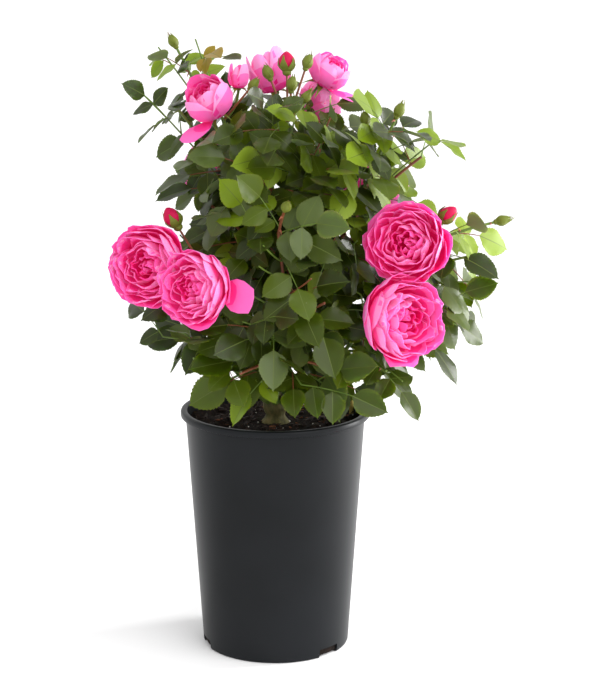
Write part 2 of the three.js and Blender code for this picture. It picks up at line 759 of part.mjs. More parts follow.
// A leaflet has a six-cornered outline folded down along its midrib, with its base sunk into the stalk.
function leafletSolid({ base, direction, normal, length, width }) {
  const side = normal.clone().cross(direction);
  const at = (l, w, h) => plus(plus(plus(base, direction, l), side, w), normal, h);
  const points = [
    at(0, 0, 0),
    at(0.3 * length, 0.47 * width, -1.5),
    at(0.7 * length, 0.4 * width, -2.2),
    at(length, 0, -0.05 * length),
    at(0.7 * length, -0.4 * width, -2.2),
    at(0.3 * length, -0.47 * width, -1.5),
  ];
  const top = [[0, 3, 1], [0, 5, 3], [1, 3, 2], [3, 5, 4]];
  const underside = [[0, 1, 5], [1, 4, 5], [1, 2, 4], [2, 3, 4]];
  return facets(points, [...top, ...underside]);
}

// A stem that tapers evenly from one radius to the other.
function taperSolid(points, baseRadius, tipRadius, sides) {
  const last = points.length - 1;
  return limbSolid(points, points.map((_, i) => THREE.MathUtils.lerp(baseRadius, tipRadius, i / last)), sides);
}

// An upright surface moved to a point and turned so that its axis lies along a direction.
function stood(surface, at, direction) {
  const turn = new THREE.Quaternion().setFromUnitVectors(UP, direction);
  return solid(surface.applyQuaternion(turn).translate(at.x, at.y, at.z));
}

function budSolid(at, direction, radius) {
  const profile = [
    [0, -1.5],
    [0.62, -1.1],
    [0.5, -0.5],
    [1, 0.25],
    [0, 1.9],
  ];
  return stood(latheSurface(profile, 5).scale(radius, radius, radius), at, direction);
}

// A bloom is a cup of overlapping petals round a sunk heart, with a scalloped rim.
function bloomSolid(at, facing, radius) {
  const profile = [
    [0, -0.66],
    [0.6, -0.42],
    [0.98, 0.04],
    [0.72, 0.38],
    [0.3, 0.3],
    [0, 0.24],
  ];
  const petals = 10;
  const geometry = latheSurface(profile, petals).scale(radius, radius, radius);
  const position = geometry.getAttribute("position");
  for (let i = 0; i < position.count; i += 1) {
    const [x, y, z] = [position.getX(i), position.getY(i), position.getZ(i)];
    const scallop = 1 + 0.06 * Math.cos((petals / 2) * Math.atan2(y, x));
    position.setXYZ(i, x * scallop, y * scallop, z * (2 - scallop));
  }
  return stood(geometry, at, facing);
}

// Joins the pieces into one body, and drops a scrap that a cut has left loose.
function fuse(pieces) {
  const whole = wasm.Manifold.union(pieces).simplify(0.01);
  const bodies = whole.decompose().filter((body) => body.volume() > 0);
  return bodies.reduce((best, body) => (body.volume() > best.volume() ? body : best));
}

// A side shoot or the stalk of a leaf, with its pinched foot.
function pinchedSolid(points, footRadius, baseRadius, tipRadius, up) {
  const last = points.length - 1;
  const radii = points.map((_, i) => (i === 0 ? footRadius : THREE.MathUtils.lerp(baseRadius, tipRadius, i / last)));
  return limbSolid(points, radii, 3, up);
}

function massSolid(mass) {
  const pieces = mass.shoots.map(({ points, stem }) =>
    stem
      ? taperSolid(points, TWIG.stemRadius, TWIG.stemTip, 4)
      : pinchedSolid(points, TWIG.footShare * TWIG.shootRadius, TWIG.shootRadius, TWIG.shootTip),
  );
  for (const { curve, bud } of mass.shoots) {
    if (bud) pieces.push(budSolid(plus(curve.getPoint(1), curve.getTangent(1), bud * 0.9), curve.getTangent(1), bud));
  }
  for (const { root, end, leaflets, up } of mass.leaves) {
    const pastEnd = along(root, end, 1.03); // so that the end leaflet's base lies inside the stalk too
    pieces.push(pinchedSolid([root, pastEnd], LEAF.rachisFoot, LEAF.rachisRadius, 0.8 * LEAF.rachisRadius, up));
    pieces.push(...leaflets.map(leafletSolid));
  }
  return fuse(pieces);
}

function spraySolid({ stalk, heads }) {
  const pieces = [taperSolid(stalk, TWIG.stemTip, TWIG.stemTip, 4)];
  for (const head of heads) {
    pieces.push(pinchedSolid(head.stalk, FLOWER_STALK.foot, FLOWER_STALK.radius, FLOWER_STALK.radius));
    pieces.push(head.bloom ? bloomSolid(head.at, head.facing, head.radius) : budSolid(head.at, head.facing, head.radius));
  }
  return fuse(pieces);
}

// ---------------------------------------------------------------- the assembly

const plant = new THREE.Group();

function addNode(name, made, finish) {
  const material = new THREE.MeshStandardMaterial({ metalness: 0, ...finish });
  const mesh = new THREE.Mesh(geometryOf(made), material);
  mesh.name = name;
  plant.add(mesh);
}

addNode("pot", potSolid(), COLOURS.pot);
addNode("soil", soilSolid(), COLOURS.soil);
addNode("stock", stockSolid(), COLOURS.bark);
addNode("cut_stub", limbSolid([stubFoot, plus(stubFoot, UP, STUB.height)], [STUB.radius, STUB.radius], 8), COLOURS.bark);
for (const [name, { points, radii, sides }] of limbs) addNode(name, limbSolid(points, radii, sides), COLOURS.bark);
for (const mass of masses) addNode(mass.name, massSolid(mass), COLOURS.leaf);
for (const spray of sprays) addNode(spray.name, spraySolid(spray), COLOURS.petal);

export default plant;
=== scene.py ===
"""A floribunda rose bush in its tall nursery pot, dressed over the CAD frame.

The plant grows here by the same rule as its solids do, and is then carried to finer twigs and leaves.
Sizes in the plant's own classes are millimetres, and every finished mesh is in metres. +Z is up, and
-Y is the front.
"""
import logging
import math
from collections.abc import Callable, Iterable, Sequence
from dataclasses import dataclass, field
from enum import Enum
from math import cos, pi, radians, sin
from typing import Any

import bpy
import numpy as np
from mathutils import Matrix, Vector
from numpy.linalg import norm


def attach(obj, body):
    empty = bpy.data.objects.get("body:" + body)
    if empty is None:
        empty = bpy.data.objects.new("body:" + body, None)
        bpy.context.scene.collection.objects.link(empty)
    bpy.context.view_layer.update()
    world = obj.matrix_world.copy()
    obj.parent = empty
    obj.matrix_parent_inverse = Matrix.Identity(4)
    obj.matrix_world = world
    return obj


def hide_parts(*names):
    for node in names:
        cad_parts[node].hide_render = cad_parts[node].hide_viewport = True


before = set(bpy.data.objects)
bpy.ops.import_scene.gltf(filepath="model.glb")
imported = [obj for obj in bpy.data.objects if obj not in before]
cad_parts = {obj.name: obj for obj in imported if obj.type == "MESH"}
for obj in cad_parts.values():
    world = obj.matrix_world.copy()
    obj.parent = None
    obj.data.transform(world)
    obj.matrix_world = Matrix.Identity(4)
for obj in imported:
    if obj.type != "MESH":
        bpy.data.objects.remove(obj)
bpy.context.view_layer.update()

LOG = logging.getLogger("rose")
Array = np.ndarray
Piece = bpy.types.Object
Point = tuple[float, float, float]
MM = 0.001
UP = np.array([0.0, 0.0, 1.0])
GOLDEN = pi * (3 - math.sqrt(5))


# ---------------- numbers and vectors


def chance(seed: int, index: int, use: int) -> float:
    """Gives a repeatable number from 0 to 1, the same one as in the part's source.

    Args:
        seed: the plant part's own number.
        index: which leaf or shoot it is.
        use: what the number is for.

    Returns:
        The number.
    """
    word = (seed * 374761393 + index * 668265263 + use * 1274126177) & 0xFFFFFFFF
    word = ((word ^ (word >> 15)) * 2246822519) & 0xFFFFFFFF
    word = ((word ^ (word >> 13)) * 3266489917) & 0xFFFFFFFF
    return (word ^ (word >> 16)) / 4294967296


def spread(seed: int, index: int, use: int) -> float:
    """Gives a repeatable number from -1 to 1."""
    return 2 * chance(seed, index, use) - 1


def chances(seed: int, count: int, uses: Sequence[int], first: int = 0) -> Array:
    """Gives a row of repeatable numbers from 0 to 1 for each of some like things.

    Args:
        seed: the plant part's own number.
        count: how many rows.
        uses: what the numbers of a row are for.
        first: the first row's index.

    Returns:
        The numbers, as rows by uses.
    """
    return np.array([[chance(seed, first + k, use) for use in uses] for k in range(count)])


def vec(values: Sequence[float]) -> Array:
    """Makes an array of floats from a point's coordinates."""
    return np.array(values, dtype=float)


def unit(vectors: Array) -> Array:
    """Scales each vector to length one."""
    return vectors / np.maximum(norm(vectors, axis=-1, keepdims=True), 1e-12)


def outwards(point: Array) -> Array:
    """Gives the level direction from the plant's axis out through a point."""
    out = vec([point[0], point[1], 0])
    return vec([0, -1, 0]) if out @ out < 1 else unit(out)


def square_to(vectors: Array, axis: Array) -> Array:
    """Gives the part of each vector that is square to its unit axis, at unit length."""
    left = vectors - axis * np.sum(vectors * axis, axis=-1, keepdims=True)
    return unit(left)


def smoothstep(value: Array | float, low: float, high: float) -> Array | float:
    """Rises smoothly from 0 at low to 1 at high."""
    share = np.clip((value - low) / (high - low), 0, 1)
    return share * share * (3 - 2 * share)


@dataclass(frozen=True)
class Curve:
    """A quadratic Bezier curve, which is the centre line of every stem."""

    start: Array
    control: Array
    end: Array

    @classmethod
    def launched(cls, start: Array, direction: Array, launch: float, end: Array) -> "Curve":
        """Makes a curve that leaves its start along a direction, for a share of its length."""
        return cls(start, start + direction * launch * norm(end - start), end)

    def at(self, share: Array | float) -> Array:
        """Gives the points at one or more shares of the curve."""
        t = np.asarray(share, dtype=float)[..., None]
        return (1 - t) ** 2 * self.start + 2 * (1 - t) * t * self.control + t * t * self.end

    def points(self, steps: int) -> Array:
        """Gives evenly parted points, from the start to the end."""
        return self.at(np.linspace(0, 1, steps + 1))

    def tangent(self, share: float) -> Array:
        """Gives the unit direction of the curve at a share of it."""
        low, high = max(share - 1e-4, 0.0), min(share + 1e-4, 1.0)
        return unit(self.at(high) - self.at(low))

    def length(self) -> float:
        """Measures the curve along 200 chords."""
        return float(np.sum(norm(np.diff(self.points(200), axis=0), axis=1)))


# ---------------- the plant's sizes, as in its solids


@dataclass(frozen=True)
class PotSizes:
    """The nursery pot."""

    height: float = 244
    rim_radius: float = 95
    lip_height: float = 6.5
    wall_top_radius: float = 90
    base_radius: float = 74
    wall: float = 1.8
    floor: float = 2
    foot_round: float = 2.4
    notches: int = 3
    notch_bearing: float = 47
    notch_half_angle: float = 10
    notch_height: float = 9
    channel_inner: float = 34
    drain_radius: float = 4.5


@dataclass(frozen=True)
class SoilSizes:
    """The compost in the pot."""

    level: float = 230
    lump: float = 2.6
    flat_radius: float = 28

    def height(self, x: Array, y: Array) -> Array:
        """Gives the height of the compost's surface at each place."""
        quiet = smoothstep(np.hypot(x, y), self.flat_radius, self.flat_radius + 16)
        lumps = np.sin(x * 0.11 + 1.3) * np.cos(y * 0.13 - 0.4) + 0.6 * np.sin(x * 0.23 - y * 0.19)
        return self.level + self.lump * quiet * lumps


@dataclass(frozen=True)
class LeafSizes:
    """A full-grown compound leaf."""

    stalk: float = 12
    pair_gap: float = 20.5
    leaflet_length: float = 37
    leaflet_width: float = 27
    end_share: float = 1.12
    rachis_radius: float = 0.75
    spread_angle: float = 72
    internode: float = 17
    leader_internode: float = 10
    fewest: int = 3
    young_above: float = 535
    young_size: float = 0.8


POT = PotSizes()
SOIL = SoilSizes()
LEAF = LeafSizes()
CLEAR = 0.3
KNUCKLE_RADIUS = 12.5
KNUCKLE = vec([0, 0, SOIL.level + CLEAR + 17])
LIGHT = vec([0, -0.32, 0.6])
CROWN_CENTRE = (38, -6)
CROWN_HALF = (190, 138)
CROWN_SHARES = ((250, 0.78), (290, 0.9), (350, 1), (430, 1.05), (620, 1.05))
CROWN_TOP = 612
STUB_RADIUS, STUB_RISE = 2.4, 18
STUB_FOOT = vec([77, 24, float(SOIL.height(vec([77]), vec([24]))[0]) + 2])
# The points of a leaflet that are tested, in shares of its length and width. The first three lie along
# its middle.
LEAFLET_OUTLINE = np.array([[0.12, 0], [0.5, 0], [1, 0], [0.3, 0.47], [0.3, -0.47], [0.7, 0.4], [0.7, -0.4]])

# Each cane by its place in the crown: its bearing round the knuckle, and its tip.
CANES = {
    "front": (0, (6, -40, 292)),
    "top_right": (45, (42, -14, 346)),
    "right": (90, (62, -18, 300)),
    "back_right": (135, (50, 38, 306)),
    "top": (180, (14, 2, 346)),
    "back_left": (-135, (-42, 38, 306)),
    "top_left": (-90, (-24, -12, 342)),
    "left": (-45, (-46, -36, 300)),
}


@dataclass
class Stem:
    """A stem, branch or side shoot, with the radius of the bud that ends it, if one does."""

    curve: Curve
    line: Array
    bud: float = 0
    fine: bool = False


@dataclass(frozen=True)
class Leaflets:
    """Leaflets as arrays that run alike: each one's base, direction, normal, length and width."""

    base: Array
    direction: Array
    normal: Array
    length: Array
    width: Array

    def arrays(self) -> tuple[Array, ...]:
        """Lists the arrays."""
        return self.base, self.direction, self.normal, self.length, self.width

    def at(self, rows: Any) -> "Leaflets":
        """Picks rows from every array, or adds axes to it."""
        return Leaflets(*(values[rows] for values in self.arrays()))

    def joined(self, more: "Leaflets") -> "Leaflets":
        """Puts more leaflets after these."""
        return Leaflets(*(np.concatenate(pair) for pair in zip(self.arrays(), more.arrays())))

    def side(self) -> Array:
        """Gives the direction across each leaflet."""
        return np.cross(self.direction, self.normal)

    def outline(self) -> Array:
        """Gives the points that each leaflet is tested at."""
        along = LEAFLET_OUTLINE[:, 0, None] * self.length[..., None, None]
        aside = LEAFLET_OUTLINE[:, 1, None] * self.width[..., None, None]
        middles = self.base[..., None, :] + self.direction[..., None, :] * along
        return middles + self.side()[..., None, :] * aside

    def touched_by(self, points: Array, clearance: Array | float) -> Array:
        """Tells which points lie in or near each leaflet's oval.

        Args:
            points: the places to test, which the arrays are broadcast against.
            clearance: how near counts.

        Returns:
            True or false for each pair.
        """
        offset = points - self.base
        height = np.abs(np.sum(offset * self.normal, axis=-1))
        ahead = (np.sum(offset * self.direction, axis=-1) - self.length / 2) / (self.length / 2 + clearance)
        aside = np.sum(offset * self.side(), axis=-1) / (self.width / 2 + clearance)
        return (height <= clearance) & (ahead * ahead + aside * aside < 1)


@dataclass(frozen=True)
class Leaf:
    """A compound leaf: its stalk's two ends and its leaflets."""

    root: Array
    end: Array
    leaflets: Leaflets
    seed: int
    index: int


@dataclass
class Mass:
    """A mass of foliage, on the cane of its place.

    Each branch leaves the stem at a share of it, for its tip, and may end in a bud.
    """

    place: str
    tip: Point
    size: float
    shoot_count: int
    floor: float
    branches: tuple[tuple[float, Point, float], ...]
    seed: int = 0
    stems: list[Stem] = field(default_factory=list)
    leaves: list[Leaf] = field(default_factory=list)


def masses() -> list[Mass]:
    """Lists the masses of foliage, each with its own seed."""
    listed = [
        Mass("top_left", (-48, -14, 528), 0.86, 8, 340,
             ((0.6, (-96, 10, 604), 5.2), (0.5, (-92, -14, 544), 0), (0.4, (-66, -26, 456), 0),
              (0.25, (-52, 40, 470), 0), (0.1, (-38, -64, 432), 0))),
        Mass("top", (12, -30, 520), 0.9, 8, 340,
             ((0.25, (26, 58, 508), 0), (0.6, (46, -52, 516), 0), (0.5, (-22, -64, 494), 0))),
        Mass("top_right", (92, -26, 478), 0.86, 7, 340,
             ((0.95, (88, -40, 534), 5.4), (0.82, (118, -24, 540), 5.6), (0.6, (142, -22, 500), 0),
              (0.3, (104, 14, 430), 0), (0.1, (62, -66, 436), 0))),
        Mass("left", (-66, -50, 396), 0.96, 8, 270,
             ((0.3, (-96, -36, 350), 0), (0.06, (-78, -66, 310), 0))),
        Mass("right", (112, -24, 394), 0.96, 8, 252,
             ((0.88, (217, -18, 436), 5.6), (0.7, (188, -22, 402), 0), (0.3, (138, -50, 338), 0),
              (0.04, (108, -76, 300), 0))),
        Mass("front", (4, -82, 436), 1, 8, 250,
             ((0.95, (11, -108, 462), 5.2), (0.04, (58, -94, 304), 0), (0.03, (-32, -96, 302), 0),
              (0.3, (48, -102, 372), 0))),
        Mass("back_left", (-52, 76, 440), 1, 9, 280, ((0.25, (-104, 46, 358), 0),)),
        Mass("back_right", (84, 72, 420), 1, 9, 280, ((0.25, (124, 44, 340), 0),)),
    ]
    for order, mass in enumerate(listed):
        mass.seed = order + 11
    return listed


class Stage(Enum):
    """How far a flower head has opened."""

    BUD = "bud"
    CUP = "cup"
    ROSETTE = "rosette"


@dataclass
class Head:
    """A bloom or a bud: its place, the way that it faces, and its radius."""

    at: Array
    facing: Array
    radius: float
    stage: Stage
    stalk: Array = field(default_factory=lambda: np.zeros((3, 3)))
    loose: Point | None = None
    lift: float = 0


@dataclass
class Spray:
    """A flower spray that grows on from the stem of the mass at its place to its fork, and its heads."""

    place: str
    fork: Array
    heads: list[Head]
    stalk: Array = field(default_factory=lambda: np.zeros((5, 3)))


def sprays() -> list[Spray]:
    """Lists the flower sprays."""

    def spray(place: str, fork: Point, blooms: Iterable, buds: Iterable) -> Spray:
        """Makes a spray from its blooms, (place, facing, radius, stage), and its buds, (place, radius)."""
        root = vec(fork)
        heads = [Head(vec(at), unit(vec(facing)), radius, stage) for at, facing, radius, stage in blooms]
        heads += [Head(vec(at), unit(vec(at) - root), radius, Stage.BUD) for at, radius in buds]
        return Spray(place, root, heads)

    rosette, cup = Stage.ROSETTE, Stage.CUP
    listed = [
        spray("left", (-72, -58, 404),
              [((-121, -72, 402), (-0.4, -0.9, 0.12), 40, rosette),
               ((-76, -104, 388), (-0.5, -0.82, 0.1), 37, rosette)],
              [((-97, -58, 446), 9)]),
        spray("right", (122, -36, 404),
              [((125, -84, 426), (-0.22, -0.93, 0.25), 39, rosette),
               ((124, -102, 356), (0.55, -0.8, 0.12), 42, rosette)],
              [((167, -40, 446), 8.5)]),
        spray("top_left", (-48, -16, 536),
              [((-64, -26, 557), (-0.42, -0.5, 0.75), 30, cup), ((-34, -14, 574), (0.05, -0.1, 1), 13, cup)],
              [((-20, -26, 570), 5)]),
        spray("top", (13, -24, 534),
              [((-4, 26, 574), (-0.3, 0.1, 0.95), 26, rosette), ((54, 16, 580), (0.55, -0.25, 0.8), 26, cup),
               ((46, 40, 546), (0.7, 0.55, 0.2), 25, rosette)],
              [((-6, -15, 580), 5.6), ((12, -12, 590), 8.4), ((17, -26, 570), 5.6), ((32, -12, 590), 5.6),
               ((30, -30, 558), 5.2)]),
        spray("back_left", (-54, 82, 450),
              [((-62, 106, 470), (-0.35, 0.85, 0.4), 36, rosette)], [((-30, 98, 488), 6)]),
        spray("back_right", (88, 78, 430),
              [((104, 104, 446), (0.45, 0.8, 0.4), 37, rosette)], []),
    ]
    left, _, top_left, top = listed[:4]
    left.heads[1].loose = (1, 0.1, -0.2)
    top_left.heads[0].loose = (-0.5, -0.6, -0.6)
    top.heads[1].loose = (1, -0.2, -0.3)
    top.heads[0].stage, top.heads[0].lift, top_left.heads[1].lift = cup, 0.3, 0.5
    return listed


# ---------------- growth


@dataclass(frozen=True)
class LeafPass:
    """One sweep along every stem that puts leaves where they fit.

    The first sweep is the one that the solids are made by, and the later ones fill what it leaves with
    finer leaves.
    """

    size: float = 1
    internode: float = LEAF.internode
    leader_internode: float = LEAF.leader_internode
    fewest: int = LEAF.fewest
    apart: float = 16
    gap: float = 0.8
    keeps_to_space: bool = True
    first_index: int = 0
    reach: float = 1
    fine_only: bool = False


# The line of sight from the plant to the front. The heads whose y is under SHOWN_WITHIN are kept in view over
# a share of their radius, clear of the leaves that stand further forward than HIDES_FROM from their middle.
SIGHT = unit(vec([0, -1, 0.223]))
SHOWN_WITHIN, HIDES_FROM = 60, -10
BLOOM_SHOWS, BUD_SHOWS = 0.8, 1.5


@dataclass(frozen=True)
class Opening:
    """A round gap along the line of sight through a place, which starts at a distance before that place."""

    place: Array
    radius: float
    start: float = -math.inf

    def holds(self, leaflets: Leaflets) -> bool:
        """Tells whether the middle of any leaflet stands in the gap.

        Args:
            leaflets: the leaflets of one leaf.

        Returns:
            Whether one does.
        """
        across = leaflets.base + leaflets.direction * leaflets.length[:, None] / 2 - self.place
        ahead = across @ SIGHT
        aside = norm(across - ahead[:, None] * SIGHT, axis=1)
        return bool(((ahead > self.start) & (aside < self.radius)).any())


class Growth:
    """Grows the whole plant: canes, stems, side shoots, flower stalks and leaves."""

    CANE_RADIUS, STEM_TIP, SHOOT_RADIUS, STALK_RADIUS = 3.5, 1.4, 1.1, 1.25
    SPACE_MARGIN, LIMB_CLEAR, BLOOM_CLEAR, TWIG_CLEAR = 0.7, 2, 5, 0.5
    POT_CLEAR, BALL_GAP = 4, 3
    REACH, APART = 50, 12
    SHOOT_TURNS = (0, 0.6, -0.6, 1.2, -1.2, 1.9, -1.9, 2.7)
    LEANS = (52, 30, 74)
    TURNS = (0, 0.8, -0.8, 1.6, -1.6, 2.4, -2.4)

    def __init__(self) -> None:
        """Grows every limb and stem, and notes what a leaf must keep clear of."""
        self.masses = masses()
        self.sprays = sprays()
        self.canes = {place: self._cane(bearing, tip) for place, (bearing, tip) in CANES.items()}
        self.balls: list[tuple[Array, float]] = []
        for mass in self.masses:
            self._grow_stems(mass)
        self._gather_spines()
        self._place_heads()
        self._gather_obstacles()
        for mass in self.masses:
            for index in range(mass.shoot_count):
                self._grow_shoot(mass, index)
        for mass in self.masses:
            for stem in mass.stems:
                self._add_rod(stem.line, self.TWIG_CLEAR + self.SHOOT_RADIUS)
        self.obstacles, self.obstacle_radii = self._obstacles()
        self.placed = Leaflets(*[np.zeros((0, 3))] * 3, *[np.zeros(0)] * 2)
        self.placed_points = self.placed.outline()

    @staticmethod
    def _cane(bearing: float, tip: Sequence[float]) -> Curve:
        """Makes a cane's centre line, from the knuckle to its tip."""
        angle = radians(bearing)
        launch = unit(vec([sin(angle), -cos(angle), 0.62]))
        return Curve.launched(KNUCKLE + launch * (KNUCKLE_RADIUS + CLEAR), launch, 0.3, vec(tip))

    @staticmethod
    def _stem_line(curve: Curve, steps: int) -> Array:
        """Gives points along a stem, with one more 2 mm from each end."""
        points = curve.points(steps)
        near = points[0] + curve.tangent(0) * 2
        far = points[-1] - curve.tangent(1) * 2
        return np.vstack([points[:1], near, points[1:-1], far, points[-1:]])

    def _grow_stems(self, mass: Mass) -> None:
        """Grows a mass's stem on from its cane, and its branches."""
        cane = self.canes[mass.place]
        heading = cane.tangent(1)
        stem = Curve.launched(cane.end + heading * CLEAR, heading, 0.4, vec(mass.tip))
        mass.stems.append(Stem(stem, self._stem_line(stem, 4)))
        for share, tip, bud in mass.branches:
            branch = Curve.launched(stem.at(share), stem.tangent(share), 0.3, vec(tip))
            mass.stems.append(Stem(branch, branch.points(3), bud))

    def _gather_spines(self) -> None:
        """Lists the segments of every mass's stem and branches, which share out the crown's space."""
        owners, lines = zip(*((order, stem.line) for order,
                              mass in enumerate(self.masses) for stem in mass.stems))
        self.spine_start = np.vstack([line[:-1] for line in lines])
        self.spine_step = np.vstack([np.diff(line, axis=0) for line in lines])
        self.spine_owner = np.repeat(owners, [len(line) - 1 for line in lines])

    def _place_heads(self) -> None:
        """Gives each spray its stalk, and each of its heads its own."""
        stems = {mass.place: mass.stems[0].curve for mass in self.masses}
        for spray in self.sprays:
            stem = stems[spray.place]
            heading = stem.tangent(1)
            curve = Curve.launched(stem.end + heading * CLEAR, heading, 0.4, spray.fork)
            spray.stalk = self._stem_line(curve, 2)
            for head in spray.heads:
                back = -1.2 if head.stage is Stage.BUD else -0.6
                neck = head.at + head.facing * back * head.radius
                launch = unit(unit(neck - spray.fork) - 0.7 * head.facing)
                head.stalk = Curve.launched(spray.fork, launch, 0.45, neck).points(2)

    def _add_rod(self, line: Array, radius: float) -> None:
        """Adds a string of balls along a line to the obstacles."""
        for a, b in zip(line[:-1], line[1:]):
            count = math.ceil(norm(b - a) / self.BALL_GAP)
            for k in range(count + 1):
                self.balls.append((a + (b - a) * k / count, radius))

    def _obstacles(self) -> tuple[Array, Array]:
        """Gives the middles and the radii of the obstacles' balls."""
        return np.array([at for at, _ in self.balls]), np.array([radius for _, radius in self.balls])

    def _gather_obstacles(self) -> None:
        """Lists what leaves and shoots keep clear of: canes, the cut stub, flower stalks, buds and blooms."""
        for curve in self.canes.values():
            self._add_rod(self._stem_line(curve, 3), self.LIMB_CLEAR + self.CANE_RADIUS)
        self._add_rod(np.array([STUB_FOOT, STUB_FOOT + UP * STUB_RISE]), self.LIMB_CLEAR + STUB_RADIUS)
        for spray in self.sprays:
            self._add_rod(spray.stalk, self.LIMB_CLEAR + self.STEM_TIP)
            for head in spray.heads:
                self._add_rod(head.stalk, self.LIMB_CLEAR + self.STALK_RADIUS)
                if head.stage is Stage.BUD:
                    self.balls.append((head.at, self.LIMB_CLEAR + head.radius * 1.5))
        for mass in self.masses:
            for stem in mass.stems:
                if stem.bud:
                    self.balls.append((stem.curve.end, self.LIMB_CLEAR + stem.bud * 2))
        self.blooms = [head for spray in self.sprays for head in spray.heads if head.stage is not Stage.BUD]

    def _grow_shoot(self, mass: Mass, index: int) -> None:
        """Grows a side shoot, at the first turn about its stem that keeps it clear."""
        stem = mass.stems[0]
        share = 0.15 + (0.85 * (index + 0.5)) / mass.shoot_count
        root, axis = stem.curve.at(share), stem.curve.tangent(share)
        side = square_to(outwards(root), axis)
        other = np.cross(axis, side)
        length = self.REACH * (0.75 + 0.5 * chance(mass.seed, index, 2))
        balls, radii = self._obstacles()
        for turn in self.SHOOT_TURNS:
            angle = GOLDEN * index + turn + mass.seed
            radial = side * cos(angle) + other * sin(angle)
            direction = unit(axis * 0.5 + radial * 0.86)
            end = root + direction * length + UP * 0.12 * length
            curve = Curve.launched(root, direction, 0.5, end)
            samples = curve.points(6)[1:]
            clear = self._free(samples, mass.floor, balls, radii)
            clear &= self._in_space(samples, mass, self.SHOOT_RADIUS + self.SPACE_MARGIN)
            for line in (grown.line for grown in mass.stems[1:]):
                apart = self._segment_distance(samples, line[:-1], np.diff(line, axis=0))
                clear &= apart.min(axis=1) > self.APART
            if clear.all():
                mass.stems.append(Stem(curve, curve.points(2)))
                return

    @staticmethod
    def _segment_distance(points: Array, start: Array, step: Array) -> Array:
        """Measures each point's distance to each segment."""
        offset = points[:, None] - start[None]
        share = np.sum(offset * step, axis=2) / np.maximum(np.sum(step * step, axis=1), 1e-9)
        return norm(offset - np.clip(share, 0, 1)[..., None] * step, axis=2)

    def _in_space(self, points: Array, mass: Mass, margin: float) -> Array:
        """Tells which points lie nearer to a mass's own stems than to any other's, with a margin."""
        apart = self._segment_distance(points, self.spine_start, self.spine_step)
        own = self.spine_owner == self.masses.index(mass)
        return apart[:, ~own].min(axis=1) > apart[:, own].min(axis=1) + 2 * margin

    def _free(self, points: Array, floor: float, balls: Array, radii: Array, reach: float = 1) -> Array:
        """Tells which points lie in the crown and clear of what stands there.

        Args:
            points: the places to test.
            floor: the lowest height.
            balls, radii: what to keep clear of, beside the blooms, the pot and the soil.
            reach: how much of the crown's width counts.

        Returns:
            True or false for each point.
        """
        x, y, z = points.T
        share = np.interp(z, *zip(*CROWN_SHARES)) * reach
        across = (x - CROWN_CENTRE[0]) / (CROWN_HALF[0] * share)
        deep = (y - CROWN_CENTRE[1]) / (CROWN_HALF[1] * share)
        ok = (z >= floor) & (z <= CROWN_TOP) & (across * across + deep * deep < 1)
        ok &= (z > POT.height + self.POT_CLEAR) | (np.hypot(x, y) > POT.rim_radius + self.POT_CLEAR)
        if len(balls):
            ok &= ~(norm(points[:, None] - balls[None], axis=2) < radii).any(axis=1)
        for bloom in self.blooms:
            offset = points - bloom.at
            ahead = offset @ bloom.facing
            aside = np.sqrt(np.maximum(0, np.sum(offset * offset, axis=1) - ahead * ahead))
            beside = ahead >= -0.7 * bloom.radius - self.BLOOM_CLEAR
            beside &= ahead <= 0.45 * bloom.radius + self.BLOOM_CLEAR
            bowl = bloom.radius * np.minimum(1, 1 + 0.8 * ahead / bloom.radius) + self.BLOOM_CLEAR
            ok &= ~(beside & (aside < bowl))
        return ok

    def _trial_leaves(self, root: Array, starts: Array, size: float, pairs: int, seed: int,
                      index: int) -> Leaf:
        """Makes the leaf that each start direction gives.

        Args:
            root: where the leaf grows.
            starts: each trial's start direction.
            size: the leaf's size, in shares of a full-grown one.
            pairs: how many pairs of leaflets it has.
            seed, index: which leaf it is.

        Returns:
            All in one, whose arrays have a row a trial.
        """
        out = outwards(root)
        stalk = LEAF.stalk * size * (0.85 + 0.3 * chance(seed, index, 5))
        gap = LEAF.pair_gap * size
        onward = unit(starts - UP * (0.3 + 0.5 * chance(seed, index, 4)))
        first = root + onward * stalk
        end = first + onward * gap * pairs
        face = LIGHT + out * 0.6 + vec([spread(seed, index, 6), spread(seed, index, 9), 0]) * 0.35
        bases, directions = [end], [unit(onward - UP * 0.25)]
        shares, uses = [LEAF.end_share], [7]
        side = np.cross(onward, square_to(face, onward))
        for pair in range(pairs):
            for hand in (-1, 1):
                angle = radians(LEAF.spread_angle + 9 * spread(seed, index, 8 + 2 * pair + hand))
                bases.append(first + onward * gap * pair)
                directions.append(unit(onward * cos(angle) + side * hand * sin(angle) - UP * 0.12))
                shares.append(0.86 if pairs == 1 else 0.78 + 0.14 * pair)
                uses.append(10 + 2 * pair + (hand + 1) // 2)
        direction = np.stack(directions, axis=1)
        normal = square_to(face, direction)
        roll = np.array([0.42 * spread(seed, index, use) for use in uses])[:, None]
        normal = normal * np.cos(roll) + np.cross(direction, normal) * np.sin(roll)
        grown = size * np.array([share * (0.9 + 0.2 * chance(seed, index, use + 20))
                                 for share, use in zip(shares, uses)])
        length, width = (np.broadcast_to(full * grown, direction.shape[:2])
                         for full in (LEAF.leaflet_length, LEAF.leaflet_width))
        return Leaf(root, end, Leaflets(np.stack(bases, axis=1), direction, normal, length, width), seed,
                    index)

